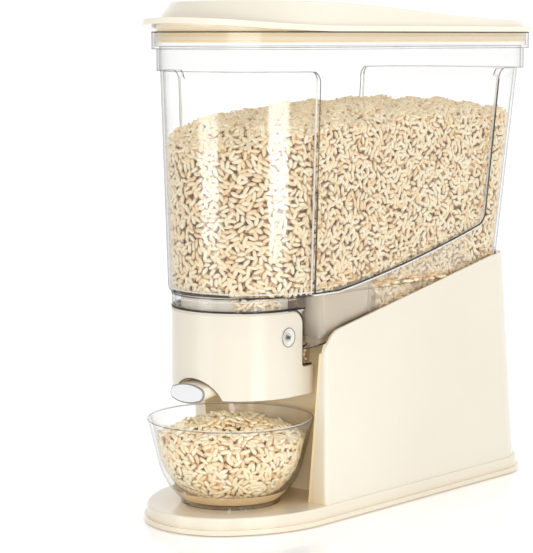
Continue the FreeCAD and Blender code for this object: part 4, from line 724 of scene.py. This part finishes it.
def along_side(ys, sign):
    """Stations on the middle plane that look to one side."""
    return [((0.0, y), Vector((sign, 0.0, 0.0))) for y in ys]


FLOOR_FRONT = -0.092
FLOOR_REAR = 0.150
FLOOR_LOWEST = 0.180
ABOVE_FLOOR = 0.30


def floor_height(y):
    """Inside of the hopper's sloping floor, as the clear shell has it."""
    start = Vector((0.0, min(max(y, FLOOR_FRONT), FLOOR_REAR), ABOVE_FLOOR))
    hit = hopper.tree.ray_cast(start, Vector((0, 0, -1)))
    return hit[0].z if hit[0] is not None else FLOOR_LOWEST


def core_floor(x, y):
    """Where the heap's inside ends below."""
    if y < NECK_BACK:
        return NECK_FLOOR + 0.0035
    return max(floor_height(y) + 0.0035, float(panel_low(y)) + 0.001 if y < NO_GRAIN_Y else 0.0)


def core_top(x, y):
    """And where it ends above."""
    return float(heap(x, y)) - 0.0045


REAR_Y = 0.120
side_ys = evenly(NOSE_Y + 0.006, REAR_Y - 0.006, 14)
ring = around((0.0, NOSE_Y), -90, 90, 25) + along_side(side_ys, 1)
ring += around((0.0, REAR_Y), 90, 270, 25) + along_side(reversed(side_ys), -1)
# Painted shade: a dark brown lump fills the heap's inside and shows in the gaps between the grains.
filler("grain_core", hopper, ring, core_floor, core_top, margin=0.0046, levels=14, body="hopper",
       material=GAP_SHADE)

# Painted shade: a beige-grey lump under the bare front of the chute stands in for the shaded view through its
# clear walls.
chute_ys = evenly(FLOOR_FRONT, NO_GRAIN_Y, 10)
chute_ring = along_side(chute_ys, 1) + along_side(reversed(chute_ys), -1)
filler("chute_shade", hopper, chute_ring, lambda x, y: floor_height(y) + 0.0006,
       lambda x, y: float(panel_low(y)) + 0.0009, margin=0.0006, levels=8, body="hopper", material=CHUTE_PAINTED_SHADE)

# Painted light: a pale see-through sheet just inside the chute's side walls lightens what shows through them.
CHUTE_LIGHT_LEVELS = 5
CHUTE_LIGHT_YS = evenly(NO_GRAIN_Y - 0.004, NO_GRAIN_Y + 0.130, 21)
chute_light_points = []
for sign in (1, -1):
    for y in CHUTE_LIGHT_YS:
        low, high = floor_height(y) + 0.0008, float(panel_low(y)) - 0.0004
        for height in evenly(low, high, CHUTE_LIGHT_LEVELS):
            reach = hopper.reach((0.0, y, height), (sign, 0.0, 0.0)) or USUAL_REACH
            chute_light_points.append((sign * (reach - 0.0002), y, height))
chute_light_faces = grid_faces(len(CHUTE_LIGHT_YS), CHUTE_LIGHT_LEVELS) + \
    grid_faces(len(CHUTE_LIGHT_YS), CHUTE_LIGHT_LEVELS, first=len(CHUTE_LIGHT_YS) * CHUTE_LIGHT_LEVELS)
make_mesh("chute_painted_light_sheet", chute_light_points, chute_light_faces, CHUTE_PAINTED_LIGHT, "hopper")

# the neck's grain shows through its right front: degrees from -Y towards +X, and radians over which it thins
NECK_AXIS = (0.0, -0.1176)
NECK_GRAIN = (36, 86)
NECK_GRAIN_FADE = 0.25
NECK_CANDIDATES = 6000
NECK_GRAIN_RADIUS = 0.0478
NECK_LIGHT_RADIUS = 0.0450
NECK_LIGHT_HEIGHTS = (0.1674, 0.1800)
NECK_GRAIN_HEIGHTS = (0.1665, 0.182)
LOOSE = dict(wander=0.5, tilt=0.15, shape=COARSE, material=GRAIN)
turns = np.radians(rng.uniform(*NECK_GRAIN, NECK_CANDIDATES))
outward = upright(turns)
spots = np.array([*NECK_AXIS, 0.0]) + outward * NECK_GRAIN_RADIUS
spots[:, 2] = rng.uniform(*NECK_GRAIN_HEIGHTS, NECK_CANDIDATES)
near_end = np.minimum(turns - math.radians(NECK_GRAIN[0]), math.radians(NECK_GRAIN[1]) - turns)
kept = rng.random(NECK_CANDIDATES) * NECK_GRAIN_FADE < near_end
lay_grains("grain_neck", "hopper", GRAIN_SIZE, spots[kept], outward[kept], room=(0.70, 0.76), depth=0.0,
           **LOOSE)
# Painted shade in the neck too: a dark brown lump behind its grain.
filler("grain_neck_core", hopper, around(NECK_AXIS, 0, 360, 41)[:-1], lambda x, y: 0.1655,
       lambda x, y: 0.1815, margin=0.032, levels=4, body="hopper", material=GAP_SHADE)
# Painted light: a pale see-through sheet round the inside of the neck lightens it where it lies in shade.
neck_light_ways = upright(np.radians(np.linspace(-100, 100, 61))) * NECK_LIGHT_RADIUS
sheet("neck_painted_light", [[(x, NECK_AXIS[1] + y, z) for z in NECK_LIGHT_HEIGHTS] for x, y, _ in neck_light_ways.tolist()],
      NECK_PAINTED_LIGHT, "hopper")

tip = Surface("outlet_tip")
points, normals = tip.sample(tip.lining(0.004), 900000)
lay_grains("grain_tip", "hopper", GRAIN_SIZE, points, normals, room=(0.66, 0.7), depth=0.0018, **LOOSE)

# ---- grain in the bowl -----------------------------------------------------------------------------

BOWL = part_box("glass_bowl")
BOWL_X = (BOWL[0][0] + BOWL[1][0]) / 2
BOWL_Y = (BOWL[0][1] + BOWL[1][1]) / 2
BOWL_FOOT = BOWL[0][2]
BOWL_GRAIN = (0.0095, 0.0036)
BOWL_CANDIDATES = 14000
PILE_EDGE = 0.0655
PILE_RISE = 0.0175
PILE_RADIUS = 0.058
PILE_ROOM = 0.0555
PILE_REACH = 0.06


def pile(x, y):
    """Height of the grain's top in the bowl: a low cone with a round top."""
    away = np.hypot(x - BOWL_X, y - BOWL_Y) / PILE_RADIUS
    lumps = 0.0012 * np.sin(x * 190 + 0.6) * np.sin(y * 160)
    return PILE_EDGE + PILE_RISE * np.maximum(1 - np.minimum(away, 1.2) ** 1.6, -0.1) + lumps


bowl = Surface("glass_bowl")
toward = np.array([BOWL_X, BOWL_Y, 0.0]) - bowl.middles
toward[:, 2] = 0.0
facing_in = (unit(toward) * bowl.normals).sum(axis=1) > 0.12
facing_up = bowl.normals[:, 2] > 0.6
bowl_lining = (facing_in | facing_up) & (bowl.middles[:, 2] > BOWL_FOOT + 0.007)
# The layer behind is darker grain: painted shade.
# label, grains tried to the square metre, and how they are laid
BOWL_WALL_LAYERS = (
    ("bowl_wall", 1400000,
     dict(room=(0.78, 0.84), wander=0.42, tilt=0.10, depth=0.0018, material=GRAIN)),
    ("bowl_behind", 300000,
     dict(room=(0.74, 0.92), wander=0.6, tilt=0.25, depth=0.0040, material=GRAIN_DEEP_SHADED)),
)
for label, density, how in BOWL_WALL_LAYERS:
    points, normals = bowl.sample(bowl_lining, density)
    below = points[:, 2] < pile(points[:, 0], points[:, 1]) - 0.001
    lay_grains(label, "bowl", BOWL_GRAIN, points[below], normals[below], shape=FINE, **how)

# Painted light and shade here too: the pile's top layer is paler, glowing grain and the one under it darker
# grain.
BOWL_TOP_LAYERS = (
    ("bowl_top", dict(room=(0.78, 0.88), wander=0.7, tilt=0.28, depth=-0.0006, material=GRAIN_TOP_PAINTED_LIGHT)),
    ("bowl_under", dict(room=(0.74, 0.95), wander=0.7, tilt=0.3, depth=-0.0032, material=GRAIN_DEEP_SHADED)),
)
for label, how in BOWL_TOP_LAYERS:
    x = BOWL_X + rng.uniform(-PILE_REACH, PILE_REACH, BOWL_CANDIDATES)
    y = BOWL_Y + rng.uniform(-PILE_REACH, PILE_REACH, BOWL_CANDIDATES)
    inside = np.hypot(x - BOWL_X, y - BOWL_Y) < PILE_ROOM
    x, y = x[inside], y[inside]
    spots = np.stack([x, y, pile(x, y)], axis=1)
    lay_grains(label, "bowl", BOWL_GRAIN, spots, normals_of(pile, x, y, 0.0015), shape=FINE, **how)

# Painted shade: a dark brown lump fills the pile in the bowl behind its grain.
filler("bowl_core", bowl, around((BOWL_X, BOWL_Y), 0, 360, 41)[:-1], lambda x, y: BOWL_FOOT + 0.011,
       lambda x, y: float(pile(x, y)) - 0.0055, margin=0.0052, levels=10, body="bowl", material=GAP_SHADE)

# Painted light: a pale see-through layer just inside the thick base's outer wall stands in for the light
# gathered in the glass.
GLOW_SUNK = 0.0012
GLOW_COLUMNS = 64
GLOW_HEIGHTS = evenly(BOWL_FOOT + 0.0034, BOWL_FOOT + 0.01065, 6)
glow_columns = []
for k in range(GLOW_COLUMNS):
    turn = 2 * math.pi * k / GLOW_COLUMNS
    way = Vector((math.cos(turn), math.sin(turn), 0.0))
    column = []
    for height in GLOW_HEIGHTS:
        far = Vector((BOWL_X, BOWL_Y, height)) + way * 0.2
        column.append(far - way * (bowl.reach(far, -way) + GLOW_SUNK))
    glow_columns.append(column)
sheet("bowl_base_painted_light", glow_columns, BASE_PAINTED_LIGHT, "bowl", closed=True)

# ---- edges of the clear walls ----------------------------------------------------------------------

BEAD_SIDES = 5
# height of the hopper's seam and of the lower edges of its band, rim and round front, each with its tolerance
SEAM = (0.178, 0.0002)
BAND_FOOT = (0.350, 0.0006)
RIM_FOOT = (0.3677, 0.0016)
NOSE_FOOT = (0.1782, 0.0008)
# front end of the seam, top of the panels' lower edges, foot of their glints, and the heights of the grooves
SEAM_FRONT = -0.09
PANEL_LOW_TOP = 0.25
GLINT_FOOT = 0.179
GROOVE_HEIGHTS = (0.1785, 0.345)
# a normal's share along X from which a face looks sideways, and the rise up to which an edge is level
SIDEWAYS = 0.7
LEVEL_RISE = 0.6


def beads(name, start, end, inward, radius, sunk, material, body):
    """Thin rods along edges, sunk that far into the wall."""
    start, end = start + inward * sunk, end + inward * sunk
    along = unit(end - start)
    long_enough = np.linalg.norm(end - start, axis=1) > 1e-5
    start, end, along = start[long_enough], end[long_enough], along[long_enough]
    helper = np.where(np.abs(along[:, 2:3]) > 0.8, np.array([[1.0, 0.0, 0.0]]), np.array([[0.0, 0.0, 1.0]]))
    side = unit(np.cross(along, helper))
    other = np.cross(along, side)
    turns = (np.arange(BEAD_SIDES) * 2 * math.pi / BEAD_SIDES)[None, :, None]
    ring = (side[:, None] * np.cos(turns) + other[:, None] * np.sin(turns)) * radius
    points = np.concatenate([start[:, None] + ring, end[:, None] + ring], axis=1).reshape(-1, 3)
    k = np.arange(BEAD_SIDES)
    after = (k + 1) % BEAD_SIDES
    quads = np.stack([k, after, after + BEAD_SIDES, k + BEAD_SIDES], axis=1)
    faces = (quads[None] + (np.arange(len(start)) * 2 * BEAD_SIDES)[:, None, None]).reshape(-1, 4)
    return make_mesh(name, points, faces, material, body)


def chain(name, spots, radius, material, body):
    """A thin rod from spot to spot."""
    spots = np.array(spots)
    return beads(name, spots[:-1], spots[1:], 0.0, radius, 0.0, material, body)


class Edges:
    """The sharp edges of a surface that can be seen from outside."""

    def __init__(self, surface, least):
        start, end, first, second, bulge = surface.sharp_edges(least)
        out = unit(first + second)
        tests = zip((start + end) / 2, out)
        seen = np.array([surface.reach(middle + way * 0.0006, way) is None for middle, way in tests])
        self.start, self.end, self.out = start[seen], end[seen], out[seen]
        self.first, self.second, self.bulge = first[seen], second[seen], bulge[seen]
        self.low, self.high = np.sort([self.start[:, 2], self.end[:, 2]], axis=0)
        self.rise = (self.high - self.low) / np.linalg.norm(self.end - self.start, axis=1)

    def at(self, height, within):
        """Which edges have both ends within that much of the height."""
        return (np.abs(self.low - height) < within) & (np.abs(self.high - height) < within)

    def rods(self, name, chosen, radius, material, body="hopper", sunk=0.0003, down=0.0):
        """Rods along the chosen edges, a little into the wall and that much further down."""
        drop = np.array([0.0, 0.0, -down])
        start, end = self.start[chosen] + drop, self.end[chosen] + drop
        return beads(name, start, end, -self.out[chosen], radius, sunk, material, body)


edges = Edges(hopper, least=32)
heights = edges.start[:, 2]
seam = edges.at(*SEAM) & (edges.start[:, 1] > SEAM_FRONT)
proud = (edges.bulge > 0) & ~seam
on_side = (np.abs(edges.first[:, 0]) > SIDEWAYS) ^ (np.abs(edges.second[:, 0]) > SIDEWAYS)
low_line = proud & on_side & (heights < PANEL_LOW_TOP)
band_low = proud & edges.at(*BAND_FOOT)
rim_low = proud & edges.at(*RIM_FOOT)
nose_low = proud & edges.at(*NOSE_FOOT)
edges.rods("hopper_edges", proud & ~band_low & ~rim_low & ~nose_low, 0.00046, DARK_EDGE)
edges.rods("rim_low_edge", rim_low, 0.00024, SOFT_EDGE)
edges.rods("band_low_edge", band_low, 0.0002, SOFT_EDGE)
edges.rods("nose_low_edge", nose_low, 0.0003, SOFT_EDGE)
edges.rods("panel_low_edges", low_line, 0.0007, DARK_EDGE)
# Painted highlight: a pale rod just below each panel's level lower edge.
level = low_line & (edges.rise < LEVEL_RISE) & (heights > GLINT_FOOT)
edges.rods("panel_low_glints", level, 0.0008, PAINTED_HIGHLIGHT, sunk=0.0010, down=0.0018)
# Painted highlights in the panels' grooves.
groove = (edges.bulge < 0) & on_side & ~seam & (heights > GROOVE_HEIGHTS[0]) & (heights < GROOVE_HEIGHTS[1])
off_side = np.where(np.abs(edges.first[:, :1]) > np.abs(edges.second[:, :1]), edges.second, edges.first)
beads("hopper_glints", edges.start[groove], edges.end[groove], off_side[groove], radius=0.0009, sunk=0.0011,
      material=PAINTED_GLINT, body="hopper")


# how far out the search for a girdle's wall starts, how far in it counts, and how deep the rod is sunk
GIRDLE_FAR = 0.3
GIRDLE_MOST = 0.28
GIRDLE_SUNK = 0.0002


def girdle(name, height, centre, aside, radius, material):
    """A rod round the front of the hopper at one height, that many degrees aside of -Y each way."""
    spots = []
    for turn in np.radians(evenly(-aside, aside, 73)):
        way = Vector((math.sin(turn), -math.cos(turn), 0.0))
        far = Vector((centre[0], centre[1], height)) + way * GIRDLE_FAR
        reach = hopper.reach(far, -way)
        if reach is not None and reach < GIRDLE_MOST:
            spots.append(far - way * (reach + GIRDLE_SUNK))
    return chain(name, spots, radius, material, "hopper")


NOSE_AXIS = (0.0, NOSE_Y)
# The glints by the front's and the neck's lower lines are painted highlights.
girdle("nose_low_line", 0.1796, NOSE_AXIS, aside=92, radius=0.0003, material=DARK_EDGE)
girdle("nose_low_glint", 0.1820, NOSE_AXIS, aside=92, radius=0.0006, material=PAINTED_GLINT)
girdle("neck_low_line", 0.1684, NECK_AXIS, aside=100, radius=0.0006, material=DARK_EDGE)
girdle("neck_glint", 0.1756, NECK_AXIS, aside=100, radius=0.0004, material=PAINTED_GLINT)


# the dark line on each side of the cover is painted shadow in the gap between the cover and the clear chute;
# it runs round its upper rear corner, down, and back over its longer foot
COVER_SIDE = 0.0519
COVER_REAR = ((-0.1185, 0.1672), (-0.1120, 0.1671), (-0.1079, 0.1663), (-0.1044, 0.1640), (-0.1020, 0.1604),
              (-0.1012, 0.1563), (-0.1012, 0.1254), (-0.1006, 0.1242), (-0.0994, 0.1236), (-0.0905, 0.1236))
for sign, side in ((1, "right"), (-1, "left")):
    spots = [(sign * COVER_SIDE, y, z) for y, z in COVER_REAR]
    chain(f"cover_rear_line_{side}", spots, 0.0008, COVER_EDGE, "hopper")

# the arch in the cover's front: its edges face forward and lie low, and the cover's level foot is left out
ARCH_FACING = 0.8
ARCH_REAR = -0.155
ARCH_TOP = 0.135
ARCH_RISE = 0.3
ARCH_FOOT = 0.1005
edges = Edges(Surface("spout_cover"), least=30)
forward = np.maximum(-edges.first[:, 1], -edges.second[:, 1]) > ARCH_FACING
in_front = np.maximum(edges.start[:, 1], edges.end[:, 1]) < ARCH_REAR
above_foot = (edges.rise > ARCH_RISE) | (edges.low > ARCH_FOOT)
arch = (edges.bulge > 0) & forward & in_front & (edges.high < ARCH_TOP) & above_foot
edges.rods("arch_line", arch, 0.0004, COVER_EDGE)


def hoop(name, radius, height, thick, material):
    """A thin ring round the bowl's axis."""
    turns = np.radians(evenly(0, 360, 97))
    spots = [(BOWL_X + radius * math.cos(turn), BOWL_Y + radius * math.sin(turn), height) for turn in turns]
    return chain(name, spots, thick, material, "bowl")


RIM_HEIGHT = BOWL[1][2]
RIM_RADIUS = (BOWL[1][0] - BOWL[0][0]) / 2
hoop("bowl_rim_line", RIM_RADIUS - 0.0006, RIM_HEIGHT - 0.0014, 0.00045, SOFT_EDGE)
# A painted highlight just inside the bowl's rim.
hoop("bowl_rim_glint", RIM_RADIUS - 0.0022, RIM_HEIGHT - 0.0006, 0.0004, PAINTED_GLINT)
edges = Edges(bowl, least=25)
foot = (edges.start[:, 2] < BOWL_FOOT + 0.012) & (edges.bulge > 0)
edges.rods("bowl_foot_line", foot, 0.0004, SOFT_EDGE, "bowl")

CAP_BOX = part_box("pivot_cap_right")
CAP_Y = (CAP_BOX[0][1] + CAP_BOX[1][1]) / 2
CAP_Z = (CAP_BOX[0][2] + CAP_BOX[1][2]) / 2
CAP_RADIUS = (CAP_BOX[1][2] - CAP_BOX[0][2]) / 2
# label, radius, how far in from the cap's face, thickness and material
CAP_RINGS = (
    ("rim", CAP_RADIUS - 0.0003, 0.0, 0.0003, CAP_RING),
    ("dish", 0.0030, 0.0004, 0.0002, GREY),
    ("dot", 0.0008, 0.0004, 0.0012, DOT),
)
for sign, side in ((1, "right"), (-1, "left")):
    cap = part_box(f"pivot_cap_{side}")
    face = cap[1][0] if sign > 0 else cap[0][0]
    for label, radius, inset, thick, material in CAP_RINGS:
        spots = [(face - sign * inset, CAP_Y + radius * math.cos(turn), CAP_Z + radius * math.sin(turn))
                 for turn in np.radians(evenly(0, 360, 49))]
        chain(f"cap_{label}_{side}", spots, thick, material, "hopper")

# ---- floor and light -------------------------------------------------------------------------------

FLOOR_REACH = 14


def stage_material():
    """A bright, slightly glossy floor that the background's white runs into."""
    shader = Shader("studio_floor")
    clouds = [(0.3, srgb(252, 252, 252)), (0.7, PURE_WHITE)]
    shader.feed(shader.ramp(shader.noise(3.0, 2.0), clouds), "Base Color")
    shader.main.inputs["Roughness"].default_value = 0.12
    shader.main.inputs["Specular IOR Level"].default_value = 0.5
    shader.main.inputs["Emission Color"].default_value = PURE_WHITE
    shader.main.inputs["Emission Strength"].default_value = 0.13
    return shader.material


FLOOR_CORNERS = [(FLOOR_REACH * x, FLOOR_REACH * y, 0) for x, y in ((-1, -1), (1, -1), (1, 1), (-1, 1))]
floor = make_mesh("studio_floor", FLOOR_CORNERS, [(0, 1, 2, 3)], stage_material(), None, False)

world = bpy.data.worlds.new("studio")
bpy.context.scene.world = world
world.use_nodes = True
world_link = world.node_tree.links.new
backdrop = world.node_tree.nodes["Background"]
backdrop.inputs["Color"].default_value = PURE_WHITE


def world_node(kind, **values):
    """A node of the world; the values go to the inputs of those names, with spaces for underscores."""
    node = world.node_tree.nodes.new("ShaderNode" + kind)
    for name, value in values.items():
        node.inputs[name.replace("_", " ")].default_value = value
    return node


split = world_node("SeparateXYZ")
world_link(world_node("TexCoord").outputs["Generated"], split.inputs["Vector"])


def world_slope(axis, start, end, low, high):
    """The world's direction along one axis, from start to end, as low to high."""
    slope = world_node("MapRange", From_Min=start, From_Max=end, To_Min=low, To_Max=high)
    world_link(split.outputs[axis], slope.inputs["Value"])
    return slope.outputs["Result"]


# Dimmer in front, most of all towards -X, full behind, and a little brighter overhead.
level_light = world_node("MapRange", To_Max=1.09)
world_link(world_slope("Y", start=0.0, end=0.5, low=0.0, high=1.0), level_light.inputs["Value"])
world_link(world_slope("X", start=-0.9, end=0.9, low=0.60, high=0.80), level_light.inputs["To Min"])
whole = world_node("Math")
whole.operation = "MULTIPLY"
world_link(level_light.outputs["Result"], whole.inputs[0])
world_link(world_slope("Z", start=0.25, end=0.9, low=1.0, high=1.22), whole.inputs[1])
world_link(whole.outputs["Value"], backdrop.inputs["Strength"])


def hang(data, place, target):
    """Puts a lamp at the place, turned to the target."""
    lamp = bpy.data.objects.new(data.name, data)
    lamp.location = place
    lamp.rotation_euler = (Vector(target) - lamp.location).to_track_quat("-Z", "Y").to_euler()
    bpy.context.scene.collection.objects.link(lamp)


BOX_CENTRE_Y = -0.1
BOX_TARGET = (0.0, -0.05, 0.2)


def softbox(name, azimuth, distance, height, size, power):
    """An upright area light that looks at the dispenser; azimuth is from -Y towards +X."""
    data = bpy.data.lights.new(name, "AREA")
    data.shape = "RECTANGLE"
    data.size, data.size_y = size
    data.energy = power
    turn = math.radians(azimuth)
    place = (math.sin(turn) * distance, BOX_CENTRE_Y - math.cos(turn) * distance, height)
    hang(data, place, BOX_TARGET)


softbox("strip_left", azimuth=-15.5, distance=1.1, height=0.155, size=(0.52, 0.21), power=1.6)
softbox("strip_right", azimuth=75, distance=1.1, height=0.155, size=(0.50, 0.21), power=2.3)
softbox("front_fill", azimuth=34, distance=2.2, height=0.46, size=(1.5, 0.24), power=2.6)

bowl_lamp = bpy.data.lights.new("bowl_fill", "SPOT")
bowl_lamp.energy = 52.0
bowl_lamp.spot_size = math.radians(6.0)
bowl_lamp.spot_blend = 1.0
bowl_lamp.shadow_soft_size = 0.10
hang(bowl_lamp, place=(0.90, -1.22, 0.33), target=(0.0, -0.10, 0.068))
